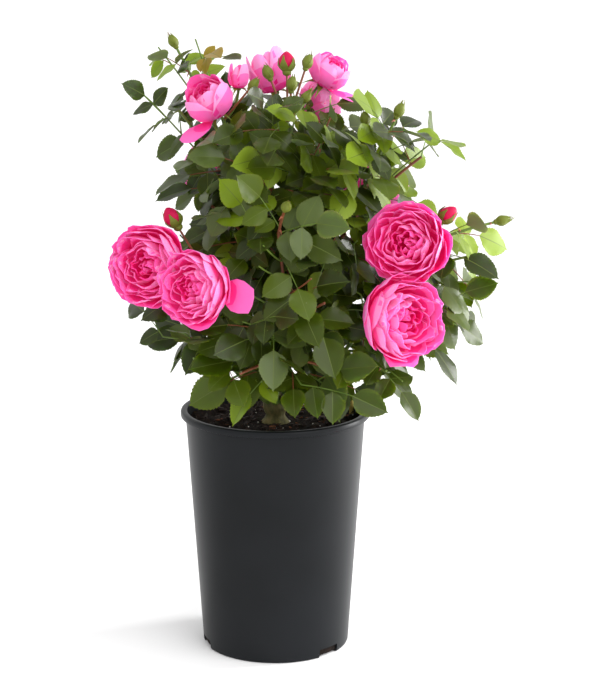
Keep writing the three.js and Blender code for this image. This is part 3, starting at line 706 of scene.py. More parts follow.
    def _fits(self, mass: Mass, leaf: Leaf, sweep: LeafPass, balls: Array, radii: Array,
              near: Array) -> Array:
        """Tells which leaflets of each trial fit. None does where the stalk or the end leaflet doesn't.

        Args:
            mass: the mass that the leaf grows in.
            leaf: the trials.
            sweep: how near the leaves may be.
            balls, radii: the obstacles in reach.
            near: which of the leaflets that are placed are in reach.

        Returns:
            True or false, as trials by leaflets.
        """
        trials, count = leaf.leaflets.length.shape
        stalk = leaf.root + (leaf.end - leaf.root)[:, None] * np.array([0.25, 0.5, 0.75, 1])[None, :, None]
        stalk_ok = self._free(stalk.reshape(-1, 3), mass.floor, balls, radii, sweep.reach)
        if sweep.keeps_to_space:
            stalk_ok &= self._in_space(stalk.reshape(-1, 3), mass, LEAF.rachis_radius + self.SPACE_MARGIN)
        alive = np.flatnonzero(np.repeat(stalk_ok.reshape(trials, 4).all(axis=1), count))
        parts = Leaflets(*(rows.reshape(trials * count, *rows.shape[2:]) for rows in leaf.leaflets.arrays()))
        points = parts.outline()
        tested = points.shape[1]

        def keep(test: Callable[[Array], Array]) -> None:
            """Drops the leaflets that fail a test."""
            nonlocal alive
            if len(alive):
                alive = alive[test(alive)]

        keep(lambda k: self._free(points[k].reshape(-1, 3), mass.floor, balls, radii, sweep.reach)
             .reshape(-1, tested).all(axis=1))
        if sweep.keeps_to_space:
            keep(lambda k: self._in_space(points[k].reshape(-1, 3), mass, self.SPACE_MARGIN)
                 .reshape(-1, tested).all(axis=1))
        if len(balls):
            keep(lambda k: ~parts.at((k, None)).touched_by(balls[None], radii[None]).any(axis=1))
        if len(near):
            keep(lambda k: ~self._crowded(parts.at(k), points[k], sweep, near))
        fit = np.zeros(trials * count, dtype=bool)
        fit[alive] = True
        fit = fit.reshape(trials, count)
        return fit & fit[:, :1]

    def _crowded(self, parts: Leaflets, points: Array, sweep: LeafPass, near: Array) -> Array:
        """Tells which leaflets cut into one that is placed already, or hide it.

        Args:
            parts: the leaflets.
            points: the points that each is tested at.
            sweep: how near they may be.
            near: which of those that are placed are in reach.

        Returns:
            True or false for each leaflet.
        """
        other, other_points = self.placed.at(near), self.placed_points[near]
        close = norm(parts.base[:, None] - other.base[None], axis=2) <= 3 * LEAF.leaflet_length
        hit = other.at(np.s_[None, :, None]).touched_by(points[:, None], sweep.gap).any(axis=2)
        hit |= parts.at(np.s_[:, None, None]).touched_by(other_points[None], sweep.gap).any(axis=2)
        beside = norm(points[:, None, :3] - other_points[None, :, :3], axis=3) < sweep.apart
        return (close & (hit | beside.any(axis=2))).any(axis=1)

    def open_up(self) -> None:
        """Takes away the leaves that stand in the crown's openings, or hide a bloom or bud from the front."""
        openings = [Opening(vec([x, 0, z]), radius) for x, z, radius in OPENINGS]
        for head in self.blooms_and_buds():
            if head.at[1] < SHOWN_WITHIN:
                shows = BUD_SHOWS if head.stage is Stage.BUD else BLOOM_SHOWS
                openings.append(Opening(head.at, shows * head.radius, HIDES_FROM))
                if head.loose:
                    place = head.at + unit(vec(head.loose)) * 1.3 * head.radius
                    openings.append(Opening(place, 0.55 * head.radius, HIDES_FROM))
        for mass in self.masses:
            mass.leaves = [leaf for leaf in mass.leaves
                           if not any(gap.holds(leaf.leaflets) for gap in openings)]

    def blooms_and_buds(self) -> list[Head]:
        """Lists every flower head of the sprays."""
        return [head for spray in self.sprays for head in spray.heads]

    def leaflet_count(self) -> int:
        """Counts the leaflets of all the masses."""
        return sum(len(leaf.leaflets.base) for mass in self.masses for leaf in mass.leaves)

    def grow_twigs(self, mass: Mass) -> None:
        """Carries a mass on to its fine twigs, by the rule of its branches."""
        stem = mass.stems[0].curve
        for share, tip in FINE_TWIGS[mass.place]:
            twig = Curve.launched(stem.at(share), stem.tangent(share), 0.3, vec(tip))
            mass.stems.append(Stem(twig, twig.points(3), fine=True))

    def grow_leaves(self, mass: Mass, sweep: LeafPass) -> None:
        """Sweeps along a mass's stems, and puts at each node the trial leaf that keeps the most leaflets.

        Args:
            mass: the mass to fill.
            sweep: how near and how large the leaves may be.
        """
        index = sweep.first_index
        for order, stem in enumerate(mass.stems):
            if sweep.fine_only and not stem.fine:
                continue
            internode = sweep.leader_internode if stem.bud else sweep.internode
            count = max(2, math.floor(stem.curve.length() / internode + 0.5))
            low, span = (0.12, 0.86) if order == 0 else (0.3, 0.7)
            for k in range(count):
                index += 1
                share = low + span * k / (count - 1)
                self._grow_leaf(mass, sweep, stem.curve, share, index)

    def _grow_leaf(self, mass: Mass, sweep: LeafPass, curve: Curve, share: float, index: int) -> None:
        """Puts one leaf on a stem, if enough of its leaflets fit.

        Args:
            mass: the mass that the stem is of.
            sweep: how near and how large the leaves may be.
            curve: the stem.
            share: the leaf's place along it.
            index: the leaf's number.
        """
        root, axis = curve.at(share), curve.tangent(share)
        young = LEAF.young_size if root[2] > LEAF.young_above else 1
        size = young * mass.size * (0.84 + 0.26 * chance(mass.seed, index, 30)) * sweep.size
        side = square_to(outwards(root), axis)
        other = np.cross(axis, side)
        reach = 2.6 * LEAF.leaflet_length * size + 8
        by_balls = norm(self.obstacles - root, axis=1) < reach + 12
        balls, radii = self.obstacles[by_balls], self.obstacle_radii[by_balls]
        near = np.flatnonzero(norm(self.placed.base - root, axis=1) < reach + 1.5 * LEAF.leaflet_length)
        radials = [side * cos(angle) + other * sin(angle)
                   for angle in (GOLDEN * index + turn for turn in self.TURNS)]
        starts = np.array([axis * cos(radians(lean)) + radial * sin(radians(lean))
                           for lean in self.LEANS for radial in radials])
        best, best_count = None, sweep.fewest - 1
        for pairs in (2, 1):
            if best_count >= 1 + 2 * pairs:
                break
            leaf = self._trial_leaves(root, starts, size, pairs, mass.seed, index)
            fit = self._fits(mass, leaf, sweep, balls, radii, near)
            counts = fit.sum(axis=1)
            trial = int(counts.argmax())
            if counts[trial] > best_count:
                best_count = int(counts[trial])
                best = Leaf(root, leaf.end[trial], leaf.leaflets.at((trial, fit[trial])), mass.seed, index)
        if best:
            mass.leaves.append(best)
            self.placed = self.placed.joined(best.leaflets)
            self.placed_points = np.concatenate([self.placed_points, best.leaflets.outline()])


FIRST_SWEEP = LeafPass()
FINER_SWEEPS = (
    LeafPass(size=0.92, internode=10, leader_internode=8, fewest=2, apart=12, keeps_to_space=False,
             first_index=900, fine_only=True),
    LeafPass(size=0.9, internode=11, leader_internode=8, fewest=2, apart=11, keeps_to_space=False,
             first_index=500,
             reach=0.72),
)

# Young shoots stand above one height and old leaves below another. Past an x, on the sunny side, more leaves
# take the
# light young and fresh tints: partly young growth, partly painted sunlight.
YOUNG_SHOOTS_ABOVE, OLD_LEAVES_BELOW, SUNNY_BEYOND = 560, 400, 55
# Where the crown stands open to the sky: the x and z of each gap in the plane through the plant's axis, and
# its radius.
OPENINGS = (
    (-129, 467, 29), (-120, 496, 9), (-106, 562, 8), (-152, 556, 12), (-154, 508, 14), (-150, 576, 14),
    (-158, 610, 18),
    (-22, 612, 18), (90, 558, 13), (200, 446, 10), (144, 284, 14), (118, 452, 9), (150, 464, 15),
    (192, 352, 7),
    (178, 276, 12), (-113, 298, 13), (14, 236, 12), (-50, 240, 13), (77, 251, 12), (100, 571, 24),
    (152, 571, 26),
    (194, 530, 26), (156, 475, 22), (216, 336, 18), (204, 294, 18), (170, 258, 14), (-122, 334, 12),
    (-100, 276, 12),
)

# The twigs that only the dressed plant has: the share of the mass's stem that each leaves at, and its tip.
FINE_TWIGS = {
    "top_left": ((0.42, (-126, -20, 560)), (0.75, (-112, -4, 604)), (0.8, (-76, -6, 612))),
    "top": ((0.55, (-2, -40, 560)), (0.5, (58, -30, 548)), (0.12, (-16, -60, 430))),
    "top_right": ((0.6, (158, -30, 520)),),
    "left": ((0.08, (-108, -58, 330)), (0.05, (-60, -60, 292))),
    "right": ((0.3, (172, -44, 352)), (0.04, (124, -68, 288)), (0.6, (212, -26, 378))),
    "front": ((0.02, (26, -90, 290)), (0.02, (-12, -86, 292)), (0.02, (54, -74, 282)), (0.2, (-30, -92, 352)),
                      (0.02, (-62, -72, 282))),
    "back_left": ((0.1, (-72, 50, 318)), (0.1, (-40, 84, 330))),
    "back_right": ((0.1, (80, 70, 318)), (0.1, (30, 88, 340))),
}


# ---------------- finishes


def linear(colour: str) -> tuple[float, float, float, float]:
    """Turns an sRGB hex colour to linear light.

    Args:
        colour: six hex digits after a #.

    Returns:
        Red, green, blue and alpha.
    """
    shares = [int(colour[k:k + 2], 16) / 255 for k in (1, 3, 5)]
    red, green, blue = (s / 12.92 if s <= 0.04045 else ((s + 0.055) / 1.055) ** 2.4 for s in shares)
    return red, green, blue, 1.0


def add_node(tree: bpy.types.NodeTree, kind: str, settings: dict[str, Any] | None = None,
             links: dict[str, Any] | None = None) -> bpy.types.Node:
    """Adds one node to a material's tree.

    Args:
        tree: the material's node tree.
        kind: the node's type name.
        settings: the node's own properties, and the values of its inputs by name.
        links: which output socket feeds each of its inputs, by name.

    Returns:
        The new node.
    """
    made = tree.nodes.new(kind)
    for name, value in (settings or {}).items():
        if hasattr(made, name):
            setattr(made, name, value)
        else:
            made.inputs[name].default_value = value
    for name, output in (links or {}).items():
        tree.links.new(output, made.inputs[name])
    return made


@dataclass(frozen=True)
class Grain:
    """A pattern of noise that is fixed to the object.

    Its size is the width of one spot in millimetres, and its stretch multiplies how often it repeats along
    X, Y and Z.
    """

    size: float
    detail: float = 3
    roughness: float = 0.55
    stretch: Point = (1, 1, 1)

    def add(self, tree: bpy.types.NodeTree) -> bpy.types.NodeSocket:
        """Adds the pattern to a tree, and gives its output."""
        place = add_node(tree, "ShaderNodeTexCoord")
        turned = add_node(tree, "ShaderNodeMapping", {"Scale": self.stretch},
                          {"Vector": place.outputs["Object"]})
        noise = add_node(tree, "ShaderNodeTexNoise",
                         {"Scale": 1 / (self.size * MM * 2), "Detail": self.detail,
                          "Roughness": self.roughness},
                         {"Vector": turned.outputs["Vector"]})
        return noise.outputs["Fac"]


@dataclass(frozen=True)
class Finish:
    """A material: two or more colours that a grain moves between, its gloss, and its relief."""

    name: str
    colours: tuple[str, ...]
    roughness: float
    mottle: Grain = Grain(20)
    spread: tuple[float, float] = (0.38, 0.62)
    relief: Grain | None = None
    relief_height: float = 0
    relief_strength: float = 1
    gloss_range: float = 0
    shader: tuple[tuple[str, Any], ...] = ()

    def make(self) -> bpy.types.Material:
        """Makes the material.

        Returns:
            The material, with its nodes.
        """
        material = bpy.data.materials.new(self.name)
        material.use_nodes = True
        material.diffuse_color = linear(self.colours[0])
        tree = material.node_tree
        shader = tree.nodes["Principled BSDF"]
        shader.inputs["Roughness"].default_value = self.roughness
        # Every finish's emission colour is its first colour. Where a shader gives it a strength, as on the
        # petals and red buds, it is a painted glow.
        for socket, value in (*self.shader, ("Emission Color", linear(self.colours[0]))):
            shader.inputs[socket].default_value = value
        if len(self.colours) == 1:
            shader.inputs["Base Color"].default_value = linear(self.colours[0])
        else:
            ramp = add_node(tree, "ShaderNodeValToRGB", {}, {"Fac": self.mottle.add(tree)})
            low, high = self.spread
            stops = ramp.color_ramp.elements
            for _ in self.colours[2:]:
                stops.new(0.5)
            for k, colour in enumerate(self.colours):
                stops[k].position = low + (high - low) * k / (len(self.colours) - 1)
                stops[k].color = linear(colour)
            tree.links.new(ramp.outputs["Color"], shader.inputs["Base Color"])
        if self.gloss_range:
            gloss = add_node(tree, "ShaderNodeMapRange",
                             {"To Min": self.roughness - self.gloss_range,
                              "To Max": self.roughness + self.gloss_range},
                             {"Value": self.mottle.add(tree)})
            tree.links.new(gloss.outputs["Result"], shader.inputs["Roughness"])
        if self.relief:
            bump = add_node(tree, "ShaderNodeBump",
                            {"Strength": self.relief_strength, "Distance": self.relief_height * MM},
                            {"Height": self.relief.add(tree)})
            tree.links.new(bump.outputs["Normal"], shader.inputs["Normal"])
        return material


LEAF_SHEEN = (("Specular IOR Level", 0.24), ("Subsurface Weight", 0.1), ("Subsurface Scale", 0.002),
              ("Subsurface Radius", (0.6, 1.0, 0.1)))
# The petals' and red buds' emission, in their own colour, is a painted glow that stands in for light coming
# through them.
PETAL_TRANSLUCENCY_AND_PAINTED_GLOW = (("Specular IOR Level", 0.1), ("Subsurface Weight", 0.3), ("Subsurface Scale", 0.004),
              ("Subsurface Radius", (1.0, 0.3, 0.5)), ("Emission Strength", 0.08))
STEM_SHEEN = (("Specular IOR Level", 0.4),)

# Injection-moulded polypropylene, coloured through: an even satin skin, whose fine spark texture softens its
# highlights.
MOULDED_PLASTIC = Finish("satin_moulded_polypropylene", ("#121416", "#191b1e"), 0.36, Grain(60, 2),
                         (0.3, 0.7),
                         Grain(0.6, 2), 0.03, 0.35, 0.04, (("IOR", 1.4), ("Specular IOR Level", 0.2)))
# Damp peat and composted bark: almost black, matt, and crumbly.
COMPOST = Finish("damp_peat_compost", ("#0e0805", "#1d120c", "#38241a"), 0.95, Grain(3.5, 6, 0.7),
                 (0.35, 0.7),
                 Grain(1.6, 8, 0.75), 1.6, 1.0, 0, (("Specular IOR Level", 0.2),))
# Chipped pine bark: torn, matt, from orange to dark brown.
BARK_CHIP = Finish("chipped_pine_bark", ("#3b1f10", "#7b4526", "#a8683c"), 0.85, Grain(2.2, 4), (0.35, 0.68),
                   Grain(0.8, 4), 0.3, 0.8)
DARK_CHIP = Finish("wet_pine_bark", ("#1a0f09", "#3a2316"), 0.8, Grain(2, 4), (0.35, 0.68), Grain(0.8, 4),
                   0.3, 0.8)
# Expanded volcanic glass: chalk-white crumbs.
PERLITE = Finish("perlite_crumb", ("#d9d4ca", "#f3efe8"), 0.9, Grain(1, 3), (0.35, 0.68), Grain(0.5, 3), 0.2)
# Woody rose bark: dull olive and brown, furrowed along the cane.
OLD_BARK = Finish("furrowed_rose_bark", ("#4d4a2c", "#6f6a3c", "#8a7a4c"), 0.78,
                  Grain(3, 5, 0.6, (1, 1, 0.35)),
                  (0.32, 0.68), Grain(1.1, 5, 0.6, (1, 1, 0.3)), 0.5, 0.8)
# Two-year canes: smooth waxy green bark with corky flecks.
GREEN_CANE = Finish("green_cane_bark", ("#4f6a2a", "#6f8a3c", "#8a9a50"), 0.5, Grain(6, 4, 0.55, (1, 1, 0.3)),
                    (0.3, 0.7), Grain(1.2, 4), 0.15, 0.6, 0, STEM_SHEEN)
# Cut wood, dried to straw.
DRY_WOOD = Finish("dry_cut_wood", ("#a98a3f", "#cbb062"), 0.8, Grain(1.5, 4, 0.6, (1, 1, 0.2)), (0.3, 0.7),
                  Grain(0.6, 4), 0.12, 0.7)
# This year's stems: smooth skin, green where shaded and flushed red-brown in the sun.
GREEN_STEM = Finish("green_stem_skin", ("#4c6420", "#6a8231"), 0.45, Grain(8, 3), (0.3, 0.7), Grain(1, 3),
                    0.08, 0.5,
                    0, STEM_SHEEN)
RED_STEM = Finish("sun_flushed_stem_skin", ("#6d3a24", "#8a5232"), 0.45, Grain(8, 3), (0.3, 0.7), Grain(1, 3),
                  0.08,
                  0.5, 0, STEM_SHEEN)
THORN = Finish("horny_thorn", ("#8f4a34", "#b06a4c"), 0.4, Grain(2, 3), (0.3, 0.7))
# Leaves: a waxy upper skin that shines softly where it is old, and is thin, bright and yellow, or flushed
# red, where it is young. The bluish tint paints that soft shine as a grey-blue green on whole leaves.
# The underside has no wax: matt and silvery green.
LEAF_SKINS = tuple(Finish(name, (colour,), roughness, shader=LEAF_SHEEN) for name, colour, roughness in (
    ("mature_leaf_dark", "#283204", 0.31), ("mature_leaf_deep", "#354105", 0.33),
    ("mature_leaf_mid", "#455408", 0.34),
    ("mature_leaf_painted_bluish_sheen", "#4b5829", 0.3), ("fresh_leaf", "#677c0d", 0.38), ("young_leaf", "#7b9122", 0.42),
    ("leaf_underside", "#66734a", 0.62), ("leaf_midrib", "#566328", 0.5),
    ("young_leaf_flushed_red", "#8a7026", 0.42),
))
# Petals: a velvet skin of tiny domes, which lets some light through it, with a faint painted glow in its own
# colour that stands for more of that light. It pales from the heart to the rim: partly the petal's own
# colour, partly painted shade deep in the bloom and painted highlight on the rims.
PETAL_SKINS = tuple(Finish(name, (colour,), 0.55, shader=PETAL_TRANSLUCENCY_AND_PAINTED_GLOW) for name, colour in (
    ("petal_heart_and_painted_shade", "#df1064"), ("petal_deep", "#f01e7e"), ("petal_mid", "#fb3c99"),
    ("petal_light", "#fc6ab6"),
    ("petal_pale_edge_and_painted_highlight", "#fc98d0"),
))
BUD_RED = Finish("bud_petal_red", ("#b81848",), 0.5, shader=PETAL_TRANSLUCENCY_AND_PAINTED_GLOW)
SEPAL = Finish("sepal_green", ("#6a7428",), 0.5, shader=LEAF_SHEEN)
SEPAL_DARK = Finish("sepal_dark", ("#7a5030",), 0.5, shader=LEAF_SHEEN)


# ---------------- meshes


def deselect_all() -> None:
    """Leaves object mode with nothing selected."""
    if bpy.context.object and bpy.context.object.mode != "OBJECT":
        bpy.ops.object.mode_set(mode="OBJECT")
    bpy.ops.object.select_all(action="DESELECT")


def take_up(piece: Piece) -> None:
    """Selects one object alone, as the active one."""
    deselect_all()
    piece.select_set(True)
    bpy.context.view_layer.objects.active = piece


def settle(piece: Piece) -> None:
    """Puts a piece's place, turn and scale into its mesh."""
    take_up(piece)
    bpy.ops.object.transform_apply(location=True, rotation=True, scale=True)


def apply_modifier(piece: Piece, kind: str, **settings: Any) -> None:
    """Adds a modifier to a piece, and applies it.

    Args:
        piece: the mesh object.
        kind: the modifier's type.
        settings: its properties.
    """
    take_up(piece)
    modifier = piece.modifiers.new(kind.title(), kind)
    for name, value in settings.items():
        setattr(modifier, name, value)
    bpy.ops.object.modifier_apply(modifier=modifier.name)


def smooth(piece: Piece, degrees: float = 40) -> None:
    """Shades a piece smooth, except across edges sharper than an angle."""
    take_up(piece)
    bpy.ops.object.shade_smooth_by_angle(angle=radians(degrees))


def finish_piece(piece: Piece, name: str, nodes: Sequence[str],
                 materials: Iterable[bpy.types.Material]) -> None:
    """Names a piece, dresses it, and ties it to the CAD.

    Args:
        piece: the mesh object, at its place.
        name: its name in the table.
        nodes: the CAD nodes that it stands for.
        materials: what it is made of, in the order of its faces' slots.
    """
    piece.name = name
    piece.data.name = name
    if piece.data.materials:  # clear() gives every face the first material, so it is kept from a fresh mesh
        piece.data.materials.clear()
    for material in materials:
        piece.data.materials.append(material)
    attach(piece, "root")
    if nodes:
        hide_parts(*nodes)
    LOG.info("%s: %d faces", name, len(piece.data.polygons))


@dataclass(frozen=True)
class Form:
    """One small closed shape that is repeated: how its points join to faces, and each face's finish."""

    corners: Array
    sizes: Array
    finishes: Array

    @classmethod
    def from_faces(cls, faces: Sequence[tuple[Sequence[int], int]]) -> "Form":
        """Makes a form from its faces' points and finishes."""
        corners = np.concatenate([np.array(points) for points, _ in faces])
        return cls(corners, np.array([len(points) for points, _ in faces]), np.array([f for _, f in faces]))


class Batch:
    """Many small shapes of one kind, gathered as arrays in millimetres and joined to one mesh."""

    SHARP_ABOVE = 60

    def __init__(self) -> None:
        """Starts with no shapes."""
        self.parts: list[tuple[Array, ...]] = []
        self.count = 0

    def add(self, form: Form, points: Array, finishes: Array | int | None = None) -> None:
        """Adds copies of a form.

        Args:
            form: the shape's faces.
            points: each copy's points, as copies by points by three.
            finishes: the finish of each copy's faces, or what broadcasts to it, if not the form's own.
        """
        copies, size = points.shape[:2]
        corners = form.corners + self.count + np.arange(copies)[:, None] * size
        dealt = np.broadcast_to(form.finishes if finishes is None else finishes, (copies, len(form.sizes)))
        sizes = np.tile(form.sizes, copies)
        self.parts.append((points.reshape(-1, 3), corners.reshape(-1), sizes, dealt.reshape(-1)))
        self.count += copies * size

    def mesh(self) -> Piece:
        """Joins all that was gathered.

        Returns:
            The object, linked to the scene.
        """
        points, corners, sizes, finishes = (np.concatenate(rows) for rows in zip(*self.parts))
        mesh = bpy.data.meshes.new("batch")
        mesh.vertices.add(len(points))
        mesh.vertices.foreach_set("co", points.reshape(-1) * MM)
        mesh.loops.add(len(corners))
        mesh.loops.foreach_set("vertex_index", corners)
        mesh.polygons.add(len(sizes))
        mesh.polygons.foreach_set("loop_start", np.concatenate([[0], np.cumsum(sizes)[:-1]]))
        mesh.polygons.foreach_set("material_index", finishes.astype(np.int32))
        mesh.update(calc_edges=True)
        mesh.validate()
        mesh.shade_smooth()
        mesh.set_sharp_from_angle(angle=radians(self.SHARP_ABOVE))
        piece = bpy.data.objects.new("batch", mesh)
        bpy.context.scene.collection.objects.link(piece)
        return piece


def sheet_form(columns: int, upper: Sequence[int], under: Sequence[int], rim: int, turned: bool) -> Form:
    """Makes the faces of a thin closed sheet: a grid of points, row by row, and the same grid below it.

    Args:
        columns: how many points a row has.
        upper: the finish of each row of upper faces.
        under: the finish of each row of faces below.
        rim: the finish of the faces round the edge.
        turned: whether the sheet's rows and columns run the other way round.

    Returns:
        The form.
    """
    rows = len(upper) + 1
    layer = columns * rows
    way = -1 if turned else 1
    faces: list[tuple[tuple[int, ...], int]] = []
    for row in range(rows - 1):
        for column in range(columns - 1):
            a = row * columns + column
            quad = (a, a + 1, a + 1 + columns, a + columns)
            faces.append((quad[::way], upper[row]))
            faces.append((tuple(layer + p for p in quad)[::-way], under[row]))
    edge = [*range(columns), *range(2 * columns - 1, layer, columns)]
    edge += [*range(layer - 2, layer - columns - 1, -1), *range(layer - 2 * columns, 0, -columns)]
    faces += [((a, b, layer + b, layer + a)[::-way], rim) for a, b in zip(edge, edge[1:] + edge[:1])]
    return Form.from_faces(faces)


def tube_form(rings: int, sides: int) -> Form:
    """Makes the faces of a tube with closed ends, whose points run ring by ring."""
    faces = []
    for ring in range(rings - 1):
        for k in range(sides):
            a, b = ring * sides + k, ring * sides + (k + 1) % sides
            faces.append(((a, b, b + sides, a + sides), 0))
    faces.append((tuple(range(sides))[::-1], 0))
    last = (rings - 1) * sides
    faces.append((tuple(range(last, last + sides)), 0))
    return Form.from_faces(faces)


def tube_points(line: Array, radii: Array, sides: int, relief: Array | float = 0) -> Array:
    """Puts rings of points round a line.

    Args:
        line: the points along the middle.
        radii: the radius at each.
        sides: how many points a ring has.
        relief: how far each point stands out of its ring, as rings by sides.

    Returns:
        The points, ring by ring.
    """
    ahead = np.vstack([line[1:], line[-1:]]) - np.vstack([line[:1], line[:-1]])
    axis = unit(ahead)
    side = np.zeros_like(axis)
    reference = vec([1, 0, 0]) if abs(axis[0, 2]) > 0.9 else UP
    for k, along in enumerate(axis):
        side[k] = square_to(reference, along)
        reference = side[k]
    other = np.cross(axis, side)
    angle = 2 * pi * np.arange(sides) / sides
    round_it = side[:, None] * np.cos(angle)[None, :, None] + other[:, None] * np.sin(angle)[None, :, None]
    reach = (np.asarray(radii)[:, None] + np.zeros(sides) + relief)[..., None]
    return (line[:, None] + round_it * reach).reshape(-1, 3)


# ---------------- pot and soil


def spun(profile: Sequence[tuple[float, float]], steps: int) -> Piece:
    """Draws a profile in edit mode and spins it once round the upright axis.

    Args:
        profile: radius and height of each point, in millimetres.
        steps: how many steps the turn has.

    Returns:
        The closed object.
    """
    deselect_all()
    bpy.ops.mesh.primitive_plane_add(size=0.01, location=(0, 0, 0))
    piece = bpy.context.object
    bpy.ops.object.mode_set(mode="EDIT")
    bpy.ops.mesh.select_all(action="SELECT")
    bpy.ops.mesh.merge(type="CENTER")
    bpy.ops.transform.translate(value=(profile[0][0] * MM, 0, profile[0][1] * MM))
    for (r0, z0), (r1, z1) in zip(profile[:-1], profile[1:]):
        step = ((r1 - r0) * MM, 0, (z1 - z0) * MM)
        bpy.ops.mesh.extrude_region_move(TRANSFORM_OT_translate={"value": step})
    bpy.ops.mesh.select_all(action="SELECT")
    bpy.ops.mesh.spin(steps=steps, angle=2 * pi, center=(0, 0, 0), axis=(0, 0, 1))
    bpy.ops.mesh.select_all(action="SELECT")
    bpy.ops.mesh.remove_doubles(threshold=1e-5)
    bpy.ops.mesh.normals_make_consistent(inside=False)
    bpy.ops.object.mode_set(mode="OBJECT")
    return piece


@dataclass(frozen=True)
class NurseryPot:
    """The tall pot: a tapered wall with a rolled lip, and a floor with raised drain channels."""

    sizes: PotSizes = POT
    steps: int = 144

    def _wall(self) -> Piece:
        """Spins the wall, the lip and the floor."""
        s = self.sizes
        inner_top = s.wall_top_radius - s.wall
        inner_base = s.base_radius - s.wall
        lip_foot = s.height - s.lip_height
        profile = [(0, 0), (s.base_radius - s.foot_round, 0), (s.base_radius - 0.7, 0.7),
                   (s.base_radius, s.foot_round)]
        for share in (0.01, 0.5, 0.94):
            profile.append((s.base_radius + (s.wall_top_radius - s.base_radius) * share,
                            s.foot_round + (lip_foot - s.foot_round) * share))
        profile += [
            (s.wall_top_radius + 0.1, lip_foot - 0.8), (s.wall_top_radius + 1.2, lip_foot),
            (s.rim_radius - 1.2, lip_foot), (s.rim_radius - 0.25, lip_foot + 0.5),
            (s.rim_radius, lip_foot + 1.5),
            (s.rim_radius, s.height - 2.2), (s.rim_radius - 0.6, s.height - 0.8),
            (s.rim_radius - 1.9, s.height),
            (inner_top + 1.6, s.height), (inner_top + 0.3, s.height - 0.7), (inner_top - 0.1, s.height - 2.4),
        ]
        for share in (0.94, 0.5, 0.01):
            profile.append((inner_base + (inner_top - inner_base) * share,
                            s.floor + (s.height - s.floor) * share))
        profile.append((0, s.floor))
        return spun(profile, self.steps)

    def _channel(self, index: int, grow: float, top: float) -> Piece:
        """Shapes the block that a drain channel is cut with: a wedge that widens outwards.

        Args:
            index: which channel it is.
            grow: how far the block stands out past the channel.
            top: the height of its top.

        Returns:
            The block.
        """
        s = self.sizes
        bearing = s.notch_bearing + 360 / s.notches * index
        slope = math.tan(radians(s.notch_half_angle))
        inner, outer = s.channel_inner - grow, s.base_radius + 8
        deselect_all()
        bpy.ops.mesh.primitive_cube_add(size=1)
        block = bpy.context.object
        block.dimensions = ((outer - inner) * MM, 2 * (outer * slope + grow) * MM, (top + 4) * MM)
        block.location = ((outer + inner) / 2 * MM, 0, (top - 4) / 2 * MM)
        settle(block)
        for corner in block.data.vertices:
            if corner.co.x < (inner + outer) / 2 * MM:
                corner.co.y *= (inner * slope + grow) / (outer * slope + grow)
        block.rotation_euler.z = radians(bearing - 90)
        settle(block)
        apply_modifier(block, "BEVEL", width=1.2 * MM, segments=2)
        return block

    def _drain(self, index: int) -> Piece:
        """Shapes the rod that a channel's drain hole is cut with."""
        s = self.sizes
        angle = radians(s.notch_bearing + 360 / s.notches * index)
        reach = (s.base_radius - 16) * MM
        deselect_all()
        bpy.ops.mesh.primitive_cylinder_add(vertices=24, radius=s.drain_radius * MM,
                                            depth=3 * s.notch_height * MM)
        rod = bpy.context.object
        rod.location = (reach * sin(angle), -reach * cos(angle), s.notch_height * MM)
        settle(rod)
        return rod

    @staticmethod
    def _cut(piece: Piece, tool: Piece, operation: str) -> None:
        """Joins a tool to a piece, cuts it away or keeps what they share, and removes the tool."""
        apply_modifier(piece, "BOOLEAN", object=tool, operation=operation, solver="MANIFOLD")
        bpy.data.objects.remove(tool)

    def build(self) -> None:
        """Builds and dresses the pot."""
        s = self.sizes
        pot = self._wall()
        for index in range(s.notches):
            rib = self._channel(index, s.floor, s.notch_height + s.floor)
            self._cut(rib, self._inside(), "INTERSECT")
            self._cut(pot, rib, "UNION")
        for index in range(s.notches):
            self._cut(pot, self._channel(index, 0, s.notch_height), "DIFFERENCE")
            self._cut(pot, self._drain(index), "DIFFERENCE")
        smooth(pot, 35)
        finish_piece(pot, "nursery_pot", ["pot"], [MOULDED_PLASTIC.make()])

    def _inside(self) -> Piece:
        """Spins the solid that the wall holds, which trims what stands on the floor."""
        s = self.sizes
        top = 40
        share = top / s.height
        profile = [(0, 0.4), (s.base_radius - 0.9, 0.4),
                   (s.base_radius - 0.9 + (s.wall_top_radius - s.base_radius) * share, top), (0, top)]
        return spun(profile, self.steps)


